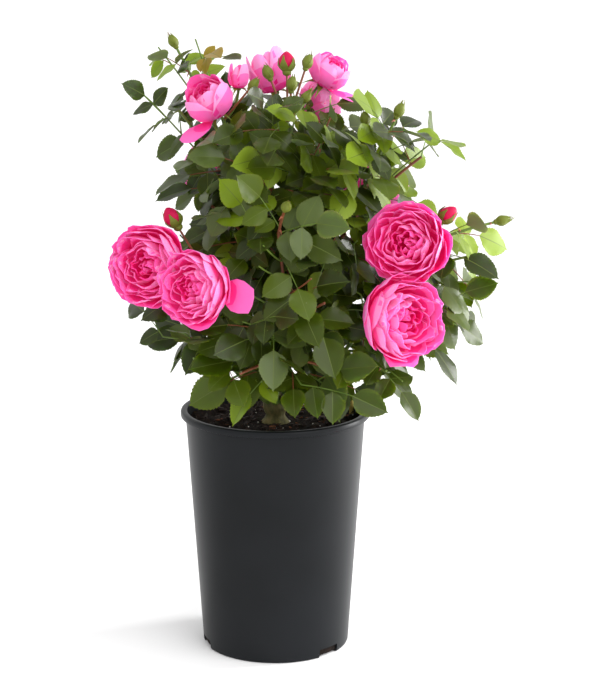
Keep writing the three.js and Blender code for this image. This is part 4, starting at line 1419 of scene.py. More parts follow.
@dataclass(frozen=True)
class Compost:
    """The compost: a lumpy surface, with bark chips, fibres and white crumbs strewn over it."""

    sizes: SoilSizes = SOIL
    rings: int = 44
    sides: int = 120
    chips: int = 260
    crumbs: int = 36
    fibres: int = 170

    def _radius_at(self, height: float) -> float:
        """Gives the inner radius of the pot's wall at a height, less a hair."""
        share = (height - POT.floor) / (POT.height - POT.floor)
        return POT.base_radius - POT.wall + (POT.wall_top_radius - POT.base_radius) * share - CLEAR

    def _surface(self) -> Piece:
        """Shapes the plug of compost: its top is a disc of rings that is pushed to the lumpy surface."""
        level, foot = self.sizes.level, POT.floor + CLEAR
        edge = self._radius_at(level)
        profile = [(0, foot), (POT.base_radius - POT.wall - CLEAR, foot),
                   (self._radius_at(level - 12), level - 12)]
        profile += [(edge * (1 - k / self.rings), level) for k in range(self.rings)] + [(0, level)]
        plug = spun(profile, self.sides)
        lumps = bpy.data.textures.new("compost_crumbs", "CLOUDS")
        lumps.noise_scale = 0.006
        lumps.noise_depth = 4
        top = plug.vertex_groups.new(name="top")
        mesh = plug.data
        points = np.empty(len(mesh.vertices) * 3)
        mesh.vertices.foreach_get("co", points)
        points = points.reshape(-1, 3)
        upper = points[:, 2] > (level - 1) * MM
        reach = np.hypot(points[:, 0], points[:, 1]) / MM
        points[upper, 2] = self.sizes.height(points[upper, 0] / MM, points[upper, 1] / MM) * MM
        mesh.vertices.foreach_set("co", points.reshape(-1))
        for index in np.flatnonzero(upper & (reach < edge - 1)):
            top.add([int(index)], 1.0, "REPLACE")
        apply_modifier(plug, "DISPLACE", texture=lumps, vertex_group="top", strength=3.2 * MM, mid_level=0.55,
                       direction="Z")
        smooth(plug, 60)
        return plug

    def _strewn(self, count: int, use: int, inner: float = 12) -> tuple[Array, Array, Array]:
        """Deals out places on the surface, and two sets of numbers from 0 to 1 for them."""
        draw = chances(use, count, range(8))
        edge = self._radius_at(self.sizes.level) - 3
        reach = np.sqrt(inner ** 2 + (edge ** 2 - inner ** 2) * draw[:, 0])
        angle = 2 * pi * draw[:, 1]
        x, y = reach * np.cos(angle), reach * np.sin(angle)
        return np.stack([x, y, self.sizes.height(x, y)], axis=1), draw[:, 2:5], draw[:, 5:8]

    def _chips(self) -> Piece:
        """Strews flat torn chips of bark."""
        outline = np.array([[-1, -0.5], [-0.3, -0.9], [0.7, -0.6], [1, 0.1], [0.4, 0.8], [-0.6, 0.7]])
        place, draw, turn = self._strewn(self.chips, 61)
        length = 1.6 + 4.6 * draw[:, 0] ** 2
        width = length * (0.35 + 0.4 * draw[:, 1])
        thick = 0.5 + 0.9 * draw[:, 2]
        jag = 0.7 + 0.6 * chances(62, self.chips, range(6))
        flat = outline[None] * jag[..., None] * np.stack([length, width], axis=1)[:, None]
        heading = 2 * pi * turn[:, 0]
        along = unit(np.stack([np.cos(heading), np.sin(heading), 0.9 * (turn[:, 1] - 0.5)], axis=1))
        upright = np.ones(self.chips)
        lean = np.stack([0.6 * (turn[:, 2] - 0.5), 0.3 * (turn[:, 1] - 0.5), upright], axis=1)
        across = unit(np.cross(lean, along))
        up = np.cross(along, across)
        middle = place[:, None] + along[:, None] * flat[..., :1] + across[:, None] * flat[..., 1:]
        lift = up[:, None] * thick[:, None, None]
        points = np.concatenate([middle - lift * 0.5, middle + lift * 0.9], axis=1)
        faces = [((5, 4, 3, 2, 1, 0), 0), ((6, 7, 8, 9, 10, 11), 0)]
        faces += [((k, (k + 1) % 6, 6 + (k + 1) % 6, 6 + k), 0) for k in range(6)]
        batch = Batch()
        batch.add(Form.from_faces(faces), points, (chances(63, self.chips, (1,)) < 0.78).astype(int))
        piece = batch.mesh()
        smooth(piece, 20)
        return piece

    def _crumbs(self) -> Piece:
        """Strews white crumbs: eight-sided lumps."""
        place, draw, _ = self._strewn(self.crumbs, 71)
        size = 0.5 + 0.8 * draw[:, 0]
        corners = np.array([[1, 0, 0], [0, 1, 0], [-1, 0, 0], [0, -1, 0], [0, 0, 1], [0, 0, -1]], dtype=float)
        jag = 0.7 + 0.5 * chances(72, self.crumbs, range(6))
        points = place[:, None] + UP * 0.8 + corners[None] * jag[..., None] * size[:, None, None]
        faces = [((k, (k + 1) % 4, 4), 0) for k in range(4)] + [(((k + 1) % 4, k, 5), 0) for k in range(4)]
        batch = Batch()
        batch.add(Form.from_faces(faces), points)
        return batch.mesh()

    def _fibres(self) -> Piece:
        """Strews thin crooked fibres and rootlets."""
        place, draw, turn = self._strewn(self.fibres, 81, 16)
        batch = Batch()
        form = tube_form(5, 4)
        for k in range(self.fibres):
            length = 5 + 12 * draw[k, 0]
            heading = 2 * pi * turn[k, 0] + np.cumsum([0.9 * spread(82, k, c) for c in range(5)])
            steps = np.stack([np.cos(heading), np.sin(heading), np.zeros(5)], axis=1) * length / 5
            line = place[k] + np.cumsum(steps, axis=0)
            inside = np.hypot(line[:, 0], line[:, 1]) < self._radius_at(self.sizes.level) - 2
            if inside.all():
                line[:, 2] = self.sizes.height(line[:, 0], line[:, 1]) + 1.2 + 1.4 * draw[k, 1]
                batch.add(form, tube_points(line, np.full(5, 0.25 + 0.25 * draw[k, 2]), 4)[None])
        return batch.mesh()

    def build(self) -> None:
        """Builds and dresses the compost."""
        finish_piece(self._surface(), "compost", ["soil"], [COMPOST.make()])
        finish_piece(self._chips(), "bark_chips", (), [BARK_CHIP.make(), DARK_CHIP.make()])
        finish_piece(self._crumbs(), "perlite_crumbs", (), [PERLITE.make()])
        finish_piece(self._fibres(), "compost_fibres", (), [DARK_CHIP.make()])


# ---------------- wood


@dataclass(frozen=True)
class Wood:
    """The graft union, the canes, the cut stub, and every stem and stalk."""

    growth: Growth
    cane_rings: int = 26
    cane_sides: int = 12
    cane_radii: tuple[float, float] = (3.5, 2.4)
    thorn_gap: float = 15
    small_head: float = 12

    def _knuckle(self) -> Piece:
        """Shapes the graft union: a spun stem and knuckle, made knobbly and furrowed."""
        ground = SOIL.level + CLEAR
        profile = [(0, ground - 4), (15, ground - 4), (15, ground), (10.8, ground + 3.5), (9, ground + 7)]
        for degrees in range(-30, 90, 15):
            angle = radians(degrees)
            profile.append((KNUCKLE_RADIUS * cos(angle), KNUCKLE[2] + KNUCKLE_RADIUS * sin(angle)))
        profile.append((0, KNUCKLE[2] + KNUCKLE_RADIUS))
        union = spun(profile, 40)
        apply_modifier(union, "SUBSURF", levels=1, render_levels=1)
        for name, scale, strength in (("burl_knobs", 0.011, 3.2), ("burl_furrows", 0.0028, 1.1)):
            relief = bpy.data.textures.new(name, "CLOUDS")
            relief.noise_scale = scale
            relief.noise_depth = 3
            apply_modifier(union, "DISPLACE", texture=relief, strength=strength * MM, mid_level=0.5)
        smooth(union, 60)
        return union

    def _cane_points(self, curve: Curve, seed: int) -> Array:
        """Puts rings of bark round a cane, with furrows, knots and a flared foot."""
        line = curve.points(self.cane_rings - 3)
        foot = line[0] - curve.tangent(0) * 6
        tip = line[-1] + curve.tangent(1) * 1.5
        line = np.vstack([foot, line, tip])
        share = np.linspace(0, 1, len(line))
        radii = self.cane_radii[0] + (self.cane_radii[1] - self.cane_radii[0]) * share
        radii = radii + 1.3 * np.exp(-share * 14)
        for knot in range(3):
            at = 0.2 + 0.3 * knot + 0.1 * spread(seed, knot, 1)
            radii = radii + 0.55 * np.exp(-((share - at) / 0.035) ** 2)
        furrow = np.array([[0.16 * spread(seed, side, 3) + 0.12 * spread(seed, ring * 31 + side, 4)
                            for side in range(self.cane_sides)] for ring in range(len(line))])
        return tube_points(line, radii, self.cane_sides, furrow)

    def _canes(self) -> Piece:
        """Joins the eight canes."""
        batch = Batch()
        form = tube_form(self.cane_rings, self.cane_sides)
        for seed, curve in enumerate(self.growth.canes.values()):
            batch.add(form, self._cane_points(curve, seed)[None])
        return batch.mesh()

    def _stub(self) -> Piece:
        """Shapes the cut stub: a short peg with a bevelled flat top."""
        sunk = 3
        middle = STUB_FOOT + UP * (STUB_RISE - sunk) / 2
        deselect_all()
        bpy.ops.mesh.primitive_cylinder_add(vertices=18, radius=STUB_RADIUS * MM,
                                            depth=(STUB_RISE + sunk) * MM,
                                            location=tuple(middle * MM))
        stub = bpy.context.object
        apply_modifier(stub, "BEVEL", width=0.35 * MM, segments=2)
        settle(stub)
        smooth(stub, 40)
        return stub

    @staticmethod
    def _tube(batch: Batch, line: Array, radii: tuple[float, float], sides: int, finish: int) -> None:
        """Adds one tapering stem to a batch."""
        points = tube_points(line, np.linspace(*radii, len(line)), sides)
        batch.add(tube_form(len(line), sides), points[None], finish)

    def _stems(self) -> Piece:
        """Joins this year's stems, branches, side shoots and flower stalks."""
        batch = Batch()
        for mass in self.growth.masses:
            for order, stem in enumerate(mass.stems):
                woody = order <= len(mass.branches)
                red = int(chance(mass.seed, order, 50) < (0.4 if woody else 0.12))
                line = stem.curve.points(14 if woody else 7)
                if woody:
                    self._tube(batch, line, (2.2 if order == 0 else 1.8, 1.3), 8, red)
                else:
                    self._tube(batch, line, (1.1, 0.75), 6, red)
        for spray in self.growth.sprays:
            stalk = spray.stalk
            self._tube(batch, Curve(stalk[0], stalk[2], stalk[-1]).points(5), (1.5, 1.4), 8, 0)
            for head in spray.heads:
                start, middle, end = head.stalk
                line = Curve(start, 2 * middle - (start + end) / 2, end).points(8)
                small = head.radius < self.small_head
                self._tube(batch, line, (1.25, 1.05 if small else 1.35), 6, int(small))
        return batch.mesh()

    def _leaf_stalks(self) -> Piece:
        """Joins the stalks that carry the leaflets, each bowed a little."""
        batch = Batch()
        form = tube_form(5, 4)
        for mass in self.growth.masses:
            for leaf in mass.leaves:
                bow = (leaf.root + leaf.end) / 2 + UP * 0.05 * norm(leaf.end - leaf.root)
                line = Curve(leaf.root, bow, leaf.end).points(4)
                points = tube_points(line, np.array([0.8, 0.62, 0.55, 0.5, 0.42]), 4)
                batch.add(form, points[None], int(chance(leaf.seed, leaf.index, 51) < 0.3))
        return batch.mesh()

    def _thorns(self) -> Piece:
        """Joins the thorns: flat-footed hooks that point down along canes and stems."""
        batch = Batch()
        form = tube_form(4, 5)
        limbs = [(curve, 3.0) for curve in self.growth.canes.values()]
        limbs += [(stem.curve,
                   1.9) for mass in self.growth.masses for stem in mass.stems[:1 + len(mass.branches)]]
        for seed, (curve, radius) in enumerate(limbs):
            count = int(curve.length() / self.thorn_gap)
            for k in range(count):
                share = (k + 0.5 + 0.3 * spread(seed, k, 60)) / count
                axis = curve.tangent(share)
                side = square_to(outwards(curve.at(share)), axis)
                angle = GOLDEN * k + 6 * chance(seed, k, 61)
                out = side * cos(angle) + np.cross(axis, side) * sin(angle)
                foot = curve.at(share) + out * (radius - 0.4)
                tip = foot + out * 4.2 - axis * 2.2
                line = Curve(foot, foot + out * 2.4 + axis * 0.6, tip).points(3)
                batch.add(form, tube_points(line, np.array([1.3, 0.75, 0.4, 0.06]), 5)[None])
        return batch.mesh()

    def build(self) -> None:
        """Builds and dresses all the wood."""
        green, red = GREEN_STEM.make(), RED_STEM.make()
        finish_piece(self._knuckle(), "graft_union", ["stock"], [OLD_BARK.make()])
        canes = ["cane_" + place for place in CANES]
        finish_piece(self._canes(), "canes", canes, [GREEN_CANE.make()])
        finish_piece(self._stub(), "cut_cane_end", ["cut_stub"], [DRY_WOOD.make()])
        finish_piece(self._stems(), "stems", (), [green, red])
        finish_piece(self._leaf_stalks(), "leaf_stalks", (), [green, red])
        finish_piece(self._thorns(), "thorns", (), [THORN.make()])


# ---------------- leaves


class Tint(Enum):
    """A leaflet's colour: its place in LEAF_SKINS."""

    DARK = 0
    DEEP = 1
    MID = 2
    # A grey-blue green: a painted sheen, dealt to whole glossy leaves.
    BLUISH_PAINTED_SHEEN = 3
    FRESH = 4
    YOUNG = 5
    BACK = 6
    RIB = 7
    FLUSHED = 8


@dataclass(frozen=True)
class LeafletShape:
    """One serrate leaflet, as points in shares of its length and half width, and the faces between them."""

    stations: tuple[float, ...] = (0, 0.1, 0.24, 0.39, 0.54, 0.69, 0.84)
    halves: tuple[float, ...] = (0.05, 0.6, 0.9, 1, 0.95, 0.76, 0.46)
    tooth: float = 0.075
    rib: float = 0.035
    thickness: float = 0.011

    def layout(self) -> tuple[Array, Form]:
        """Lays out the leaflet.

        Returns:
            Its points, as along, across, sunk and pleat, and its form.
        """
        count = len(self.stations)
        ends = self.stations + (1.0,)
        wide = self.halves + (0.0,)
        points: list[tuple[float, float, float, float]] = []
        index: dict[tuple[str, int, int], int] = {}

        def put(kind: str, station: int, hand: int, place: tuple[float, float, float, float]) -> None:
            """Notes a point by its kind, station and hand."""
            index[kind, station, hand] = len(points)
            points.append(place)

        for k in range(count):
            jut = 0.5 if k == count - 1 else 1
            put("under", k, 0, (ends[k], 0, 1, 0))
            for hand in (-1, 1):
                put("rib", k, hand, (ends[k], hand * self.rib * (1 - 0.7 * ends[k]), 0, 0))
                if k:
                    half = (ends[k] + 0.02, hand * wide[k] * 0.52)
                    put("half", k, hand, (*half, 0, 1 if k % 2 else -1))
                    put("back", k, hand, (*half, 1, 1 if k % 2 else -1))
                    put("edge", k, hand, (ends[k] + 0.035, hand * wide[k], 0, 0))
                for order, (share, out) in enumerate(((0.42, self.tooth), (0.5, -0.01), (0.9, self.tooth))):
                    at = min(ends[k] + (ends[k + 1] - ends[k]) * share + 0.035, 0.985)
                    half_width = wide[k] + (wide[k + 1] - wide[k]) * share + out * jut
                    put(f"tooth{order}", k, hand, (at, hand * half_width, 0, 0))
        put("tip", 0, 0, (1.06, 0, 0, 0))
        return np.array(points), Form.from_faces(self._faces(index, count))

    @staticmethod
    def _faces(index: dict[tuple[str, int, int], int], count: int) -> list[tuple[list[int], int]]:
        """Lists the faces between the points, with 0 for the upper skin."""
        tip, back, rib = index["tip", 0, 0], Tint.BACK.value, Tint.RIB.value
        faces = [([index["rib", 0, -1], index["rib", 0, 1], index["under", 0, 0]], back)]

        def at(kind: str, station: int, hand: int) -> int:
            """Finds a point, or the tip past the last station."""
            return tip if station == count else index[kind, station, 0 if kind == "under" else hand]

        for k in range(count):
            strip = [at("rib", k, -1), at("rib", k, 1), at("rib", k + 1, 1), at("rib", k + 1, -1)]
            faces.append((list(dict.fromkeys(strip))[::-1], rib))
            for hand in (-1, 1):
                start = index["edge", k, hand] if k else index["rib", 0, hand]
                path = [start, *(index[f"tooth{order}", k, hand] for order in range(3)),
                        at("edge", k + 1, hand)]
                for middle, column, finish, way in (("rib", "half", 0, 1), ("under", "back", back, -1)):
                    near, beyond = (index.get((column, station, hand)) for station in (k, k + 1))
                    hub, next_hub = near or beyond, beyond or near
                    rings = [[at(middle, k, hand), near, beyond, at(middle, k + 1, hand)]]
                    if middle == "under" and not k:
                        rings.append([hub, at(middle, 0, hand), start])
                    rings += [[hub, a, b] for a, b in zip(path[:2], path[1:])]
                    rings += [[near, path[2], beyond]] if near and beyond else []
                    rings += [[next_hub, a, b] for a, b in zip(path[2:], path[3:])]
                    faces += [([p for p in ring if p is not None][::-hand * way], finish) for ring in rings]
        return faces


@dataclass(frozen=True)
class Foliage:
    """All the leaflets, in pieces that each stand for some of the masses."""

    growth: Growth
    shape: LeafletShape = LeafletShape()

    @staticmethod
    def _tint(leaf: Leaf) -> Tint:
        """Deals out a leaf's tint: the higher it grows, the younger."""
        draw = chance(leaf.seed, leaf.index, 40)
        height = leaf.root[2]
        if height > YOUNG_SHOOTS_ABOVE and draw < 0.7:
            return Tint.FLUSHED if draw < 0.14 else (Tint.YOUNG if draw < 0.36 else Tint.FRESH)
        if height > LEAF.young_above - 25 and draw < 0.4:
            return Tint.YOUNG if draw < 0.16 else Tint.FRESH
        if height < OLD_LEAVES_BELOW:
            young, fresh = 0, 0.03
        else:
            # Beyond SUNNY_BEYOND, on the lit side, the lighter tints are partly young growth and partly
            # painted sunlight.
            young, fresh = (0.12, 0.42) if leaf.root[0] > SUNNY_BEYOND else (0.03, 0.1)
        for tint, share in ((Tint.YOUNG, young), (Tint.FRESH, fresh), (Tint.BLUISH_PAINTED_SHEEN, fresh + 0.12),
                            (Tint.MID, fresh + 0.32), (Tint.DEEP, 0.74)):
            if draw < share:
                return tint
        return Tint.DARK

    def _leaflets(self, leaf: Leaf, layout: Array) -> Array:
        """Bends the leaflet's layout to each leaflet of a leaf.

        Args:
            leaf: the leaf.
            layout: the points of one leaflet, in shares.

        Returns:
            The points of each, in millimetres.
        """
        parts = leaf.leaflets
        draw = 2 * chances(leaf.seed, len(parts.base), range(70, 76), leaf.index * 8) - 1
        fold, droop, twist, wave, phase, curl = draw.T[..., None]
        along, across, sunk, pleat = layout.T[:, None]
        half = parts.width[:, None] / 2
        length = parts.length[:, None]
        rise = (0.1 + 0.22 * fold) * np.abs(across) * half
        rise = rise - (0.13 + 0.1 * droop) * length * along ** 2 + 0.22 * twist * across * along * half
        ripple = (0.025 + 0.015 * wave) * length * np.sin(9 * along + 3 * phase + 1.5 * across)
        rise = rise + ripple * across ** 2
        rise = rise + 0.0045 * length * pleat - 0.03 * length * np.maximum(0, curl) * np.abs(across) ** 3
        rise = rise - self.shape.thickness * length * sunk
        skin = parts.base[:, None] + parts.direction[:, None] * (along * length)[..., None]
        skin = skin + parts.side()[:, None] * (across * half)[..., None]
        return skin + parts.normal[:, None] * rise[..., None]

    def build(self) -> None:
        """Builds and dresses the leaflets, a piece for each pair of masses."""
        layout, form = self.shape.layout()
        finishes = [skin.make() for skin in LEAF_SKINS]
        masses = self.growth.masses
        for first in range(0, len(masses), 2):
            batch = Batch()
            pair = masses[first:first + 2]
            for mass in pair:
                for leaf in mass.leaves:
                    finish = np.where(form.finishes == 0, self._tint(leaf).value, form.finishes)
                    batch.add(form, self._leaflets(leaf, layout), finish)
            name = "leaves_" + pair[0].place
            finish_piece(batch.mesh(), name, ["foliage_" + mass.place for mass in pair], finishes)


# ---------------- flowers


@dataclass(frozen=True)
class PetalSet:
    """Some petals of a bloom, as arrays with one number each, in shares of its radius."""

    bearing: Array
    end_reach: Array
    end_height: Array
    belly_reach: Array
    belly_height: Array
    half_angle: Array
    lip: Array
    ruffle: Array
    shade: Array


@dataclass(frozen=True)
class PetalShape:
    """The grid that every petal is bent from, and its faces."""

    across: int = 6
    along: int = 6
    # Each row darkens towards the petal's foot, deep in the bloom, and pales towards its rim: partly its own
    # colour, partly painted shade and painted highlight.
    inner_steps: tuple[int, ...] = (0, 0, 0, 1, 2)
    back_steps: tuple[int, ...] = (1, 1, 2, 2, 3)
    thickness: float = 0.012

    def form(self) -> Form:
        """Makes the faces, whose finishes are how many steps paler each row is than the petal's own shade."""
        return sheet_form(self.across, self.inner_steps, self.back_steps, 2, True)

    def points(self, petals: PetalSet, seed: int) -> Array:
        """Bends the grid to each petal, about +Z.

        Args:
            petals: the petals' numbers.
            seed: what their small differences come from.

        Returns:
            Their points, in shares of the bloom's radius.
        """
        count = len(petals.bearing)
        u = np.linspace(-1, 1, self.across)[None, None]
        v = np.linspace(0, 1, self.along)[None, :, None]
        draw = chances(seed, count, (80, 81, 82)).T[..., None, None]
        phase, dent, lean = 6.3 * draw[0], 0.05 * draw[1], 0.12 * (2 * draw[2] - 1)
        own = PetalSet(*(getattr(petals, name)[:, None, None] for name in PetalSet.__dataclass_fields__))
        share = v * (1 - 0.1 * u ** 2 - 0.12 * u ** 4 - dent * np.exp(-(u / 0.25) ** 2) + lean * u * 0.5)
        w0, w1 = (1 - share) ** 3, 3 * (1 - share) ** 2 * share
        w2, w3 = 3 * (1 - share) * share ** 2, share ** 3
        belly = own.belly_reach
        radius = w0 * 0.04 + w1 * belly * 0.85 + w2 * belly * 1.06 + w3 * own.end_reach
        rise = w0 * -0.64 + w1 * -0.62 + w2 * own.belly_height + w3 * own.end_height
        tipwards = np.maximum(0, (v - 0.72) / 0.28) ** 2 * (1 - 0.35 * u ** 2)
        radius = radius + own.lip * tipwards
        rise = rise - 0.55 * np.abs(own.lip) * tipwards
        radius = radius + own.ruffle * np.sin(2.6 * pi * u / 2 + phase) * v ** 3
        rise = rise + 0.7 * own.ruffle * np.cos(3.4 * pi * u / 2 + 2 * phase) * v ** 3
        outline = np.interp(v, (0, 0.3, 0.65, 0.88, 1), (0.6, 0.85, 1, 0.96, 0.78))
        angle = own.bearing + u * own.half_angle * outline + lean * v
        radius = radius - 0.07 * belly * u ** 2 * v
        skin = np.stack([radius * np.cos(angle), radius * np.sin(angle), rise + 0 * angle], axis=-1)
        normal = unit(np.cross(np.gradient(skin, axis=2), np.gradient(skin, axis=1)))
        under = skin + normal * self.thickness
        return np.concatenate([skin.reshape(count, -1, 3), under.reshape(count, -1, 3)], axis=1)


def frames_for(direction: Array) -> Array:
    """Gives the matrix whose columns turn +Z to a direction."""
    reference = UP if abs(direction[2]) < 0.9 else vec([0, -1, 0])
    side = square_to(reference, direction)
    return np.stack([np.cross(side, direction), side, direction], axis=1)


@dataclass(frozen=True)
class Flowers:
    """Every bloom and bud, with its sepals and hip."""

    growth: Growth
    petal: PetalShape = PetalShape()
    shades: int = 5
    large_cup: float = 20
    large_rosette: float = 30
    ripe_bud: float = 8

    def _rosette(self, seed: int, openness: float, count: int) -> PetalSet:
        """Arranges a full bloom's petals: guard petals outside, then rings that crowd into quarters.

        Args:
            seed: the bloom's own number.
            openness: 0 for a deep cup to 1 for a flat, reflexed bloom.
            count: how many petals.

        Returns:
            The petals.
        """
        order = np.arange(count)
        inwards = order / (count - 1)
        jitter = 2 * chances(seed, count, range(90, 96)).T - 1
        bearing = GOLDEN * order + 0.15 * jitter[0]
        quarters = np.where(inwards > 0.35, 0.22, 0.0)
        bearing = bearing + quarters * np.sin(4 * bearing + seed)
        reach = 1.0 * (1 - inwards) ** 0.72 * (1 + 0.06 * jitter[1]) + 0.07
        outer = np.clip(1 - inwards / 0.3, 0, 1)
        height = 0.40 - (0.18 + 0.42 * openness) * outer ** 1.2 - 0.12 * inwards ** 2 + 0.05 * jitter[2]
        belly = np.maximum(reach * (1.05 - 0.1 * outer * openness), 0.16)
        belly_height = -0.16 - 0.1 * outer + 0.25 * inwards
        half = 0.62 + 0.22 * inwards + 0.08 * jitter[3]
        lip = (0.12 * outer + 0.03) * (1 + 0.5 * jitter[4]) - 0.1 * (inwards > 0.6)
        ruffle = 0.03 + 0.025 * (1 - outer) + 0.015 * jitter[5]
        # The innermost petals take the deepest pink: partly their own colour, partly painted shade deep in
        # the bloom.
        shade = np.where(inwards > 0.78, 0, np.where(inwards > 0.3, 1, 1 + (chance(seed, 1, 97) > 0.6)))
        reach = np.minimum(reach - np.maximum(lip, 0), 0.99)
        return PetalSet(bearing, reach, height, belly, belly_height, half, lip, ruffle, shade)

    def _cup(self, seed: int, count: int, lift: float) -> PetalSet:
        """Arranges a half-open globe's petals: smooth cupped ones round a spiral heart, lifted by a share."""
        order = np.arange(count)
        inwards = order / (count - 1)
        jitter = 2 * chances(seed, count, range(90, 94)).T - 1
        bearing = GOLDEN * order + 0.1 * jitter[0]
        reach = 0.5 * (1 - inwards) ** 0.8 + 0.06
        belly = np.maximum(0.95 * (1 - inwards) ** 0.6 + 0.05, 0.16)
        height = 0.46 + lift + (0.1 + 0.4 * lift) * (1 - inwards) * (1 + jitter[1]) - 0.12 * inwards
        lip = np.where(inwards < 0.2, 0.1, -0.04) * (1 + 0.4 * jitter[2])
        half = 0.95 - 0.15 * inwards
        # The inner petals take the deepest pink: partly their own colour, partly painted shade deep in the
        # globe.
        return PetalSet(bearing, reach, height, belly, -0.1 + 0.2 * inwards, half, lip,
                        0.015 + 0.01 * jitter[3], np.where(inwards > 0.6, 0, 1))

    def _add_petals(self, batch: Batch, head: Head, petals: PetalSet, seed: int, steps: int = 5) -> None:
        """Adds a bloom's petals to a batch.

        Args:
            batch: what they are added to.
            head: the bloom.
            petals: its petals.
            seed: what their small differences come from.
            steps: the most shades that a face may be paler than its petal.
        """
        form = self.petal.form()
        points = self.petal.points(petals, seed) @ frames_for(head.facing).T * head.radius + head.at
        finishes = np.clip(petals.shade[:, None] + np.minimum(form.finishes, steps)[None], 0, self.shades - 1)
        batch.add(form, points, finishes.astype(int))

    def _blooms(self) -> Piece:
        """Joins the petals of all the blooms."""
        batch = Batch()
        for seed, head in enumerate(self.growth.blooms):
            if head.stage is Stage.CUP:
                petals = self._cup(seed + 40, 22 if head.radius > self.large_cup else 9, head.lift)
            else:
                count = 54 if head.radius > self.large_rosette else 36
                petals = self._rosette(seed + 40, 0.35 + 0.5 * chance(seed, 0, 98), count)
            self._add_petals(batch, head, petals, seed + 40)
            if head.loose:
                self._add_petals(batch, head, self._loose(head), seed + 40, 1)
        return batch.mesh()

    @staticmethod
    def _loose(head: Head) -> PetalSet:
        """Makes the one guard petal that has fallen open, away from the rest."""
        across, beside, _ = frames_for(head.facing).T
        bearing = math.atan2(vec(head.loose) @ beside, vec(head.loose) @ across)
        numbers = {"bearing": bearing, "end_reach": 1.7, "end_height": -0.2, "belly_reach": 1.0,
                   "belly_height": -0.42, "half_angle": 0.42, "lip": 0.06, "ruffle": 0.03, "shade": 2}
        return PetalSet(**{name: np.array([value]) for name, value in numbers.items()})

    @staticmethod
    def _lathe(batch: Batch, head: Head, profile: Array, sides: int, finish: int, swirl: float = 0) -> None:
        """Adds a small turned shape that may have spiral ridges.

        Args:
            batch: what it is added to.
            head: its place, axis and size.
            profile: reach and height of each ring, in shares of its size.
            sides: how many points a ring has.
            finish: its place in the list of materials.
            swirl: how high the ridges stand.
        """
        angle = 2 * pi * np.arange(sides)[None] / sides
        reach, height = profile[:, 0, None], profile[:, 1, None]
        ridged = reach * (1 + swirl * np.sin(2.5 * angle + 2.2 * height) * (height > -0.6))
        ring = np.stack([ridged * np.cos(angle), ridged * np.sin(angle), height + 0 * angle], axis=-1)
        points = ring.reshape(-1, 3) @ frames_for(head.facing).T * head.radius + head.at
        batch.add(tube_form(len(profile), sides), points[None], finish)

    @staticmethod
    def _sepals(batch: Batch, head: Head, opening: float, length: float, seed: int) -> None:
        """Adds five sepals that taper to long tips.

        Args:
            batch: what they are added to.
            head: the place, axis and size of what they clasp.
            opening: 0 where they clasp the bud, to 1 where they are bent back.
            length: how long they are, in shares of the radius.
            seed: what their differences come from.
        """
        stations = np.array([0, 0.15, 0.35, 0.6, 0.85, 1])
        widths = np.array([0.42, 0.5, 0.42, 0.2, 0.09, 0.02])
        rows = len(stations) - 1
        form = sheet_form(3, [0] * rows, [1] * rows, 0, False)
        for k in range(5):
            bearing = 2 * pi * (k + 0.15 * spread(seed, k, 83)) / 5
            spread_out = opening + 0.12 * spread(seed, k, 84)
            clasp_r = np.interp(stations, (0, 0.25, 0.5, 1), (0.5, 1.02, 0.9, 0.3))
            clasp_z = np.interp(stations, (0, 1), (-1.0, -1.0 + length))
            open_r = 0.5 + length * 0.8 * stations ** 0.9
            open_z = -1.0 + length * (0.35 * stations - 0.85 * stations ** 2) * 0.8
            reach = clasp_r + (open_r - clasp_r) * spread_out
            height = clasp_z + (open_z - clasp_z) * spread_out
            across = np.array([-1, 0, 1])[None] * widths[:, None] * (0.62 * length / 2.4 + 0.3)
            out = reach[:, None] - 0.25 * np.abs(across) * (1 - spread_out)
            turn = np.array([[cos(bearing), sin(bearing), 0], [-sin(bearing), cos(bearing), 0],
                             [0, 0, 1]])
            skin = np.stack([out, across, height[:, None] + 0 * across], axis=-1).reshape(-1, 3)
            under = skin - np.array([0.05, 0, -0.02])
            points = np.vstack([skin, under]) @ turn @ frames_for(head.facing).T * head.radius + head.at
            batch.add(form, points[None])

    def _greenery(self) -> tuple[Piece, Piece]:
        """Joins the buds, and the hips and sepals of buds and blooms."""
        buds, green = Batch(), Batch()
        egg = np.array([[0.3, -1.0], [0.72, -0.72], [0.92, -0.3], [0.95, 0.1], [0.84, 0.55], [0.6, 1.0],
                        [0.3, 1.35],
                        [0.06, 1.5]])
        hip = np.array([[0.2, -1.55], [0.42, -1.42], [0.52, -1.2], [0.5, -1.0], [0.42, -0.9]])
        heads = self.growth.blooms_and_buds()
        for mass in self.growth.masses:
            for stem in mass.stems:
                if stem.bud:
                    facing = stem.curve.tangent(1)
                    heads.append(Head(stem.curve.end + facing * stem.bud * 0.9, facing, stem.bud, Stage.BUD))
        for seed, head in enumerate(heads):
            if head.stage is Stage.BUD:
                ripe = head.radius > self.ripe_bud
                shape = egg * (1, 0.85) if ripe else egg
                self._lathe(buds, head, shape, 15, 0 if ripe else 1, 0.06)
                self._lathe(green, head, hip, 8, 0)
                self._sepals(green, head, 0.22 if ripe else 0.02, 2.6 if ripe else 2.9, seed)
            else:
                size = 6.5 if head.radius > self.large_cup else 5
                middle = head.at - head.facing * (0.62 * head.radius - 0.9 * size)
                neck = Head(middle, head.facing, size, head.stage)
                self._lathe(green, neck, hip, 8, 0)
                self._sepals(green, neck, 1.0, 2.8, seed)
        return buds.mesh(), green.mesh()

    def build(self) -> None:
        """Builds and dresses the flowers."""
        names = ["flowers_" + spray.place for spray in self.growth.sprays]
        finish_piece(self._blooms(), "petals", names, [skin.make() for skin in PETAL_SKINS])
        buds, green = self._greenery()
        finish_piece(buds, "buds", (), [BUD_RED.make(), SEPAL.make()])
        finish_piece(green, "sepals_and_hips", (), [SEPAL.make(), SEPAL_DARK.make()])


# ---------------- studio


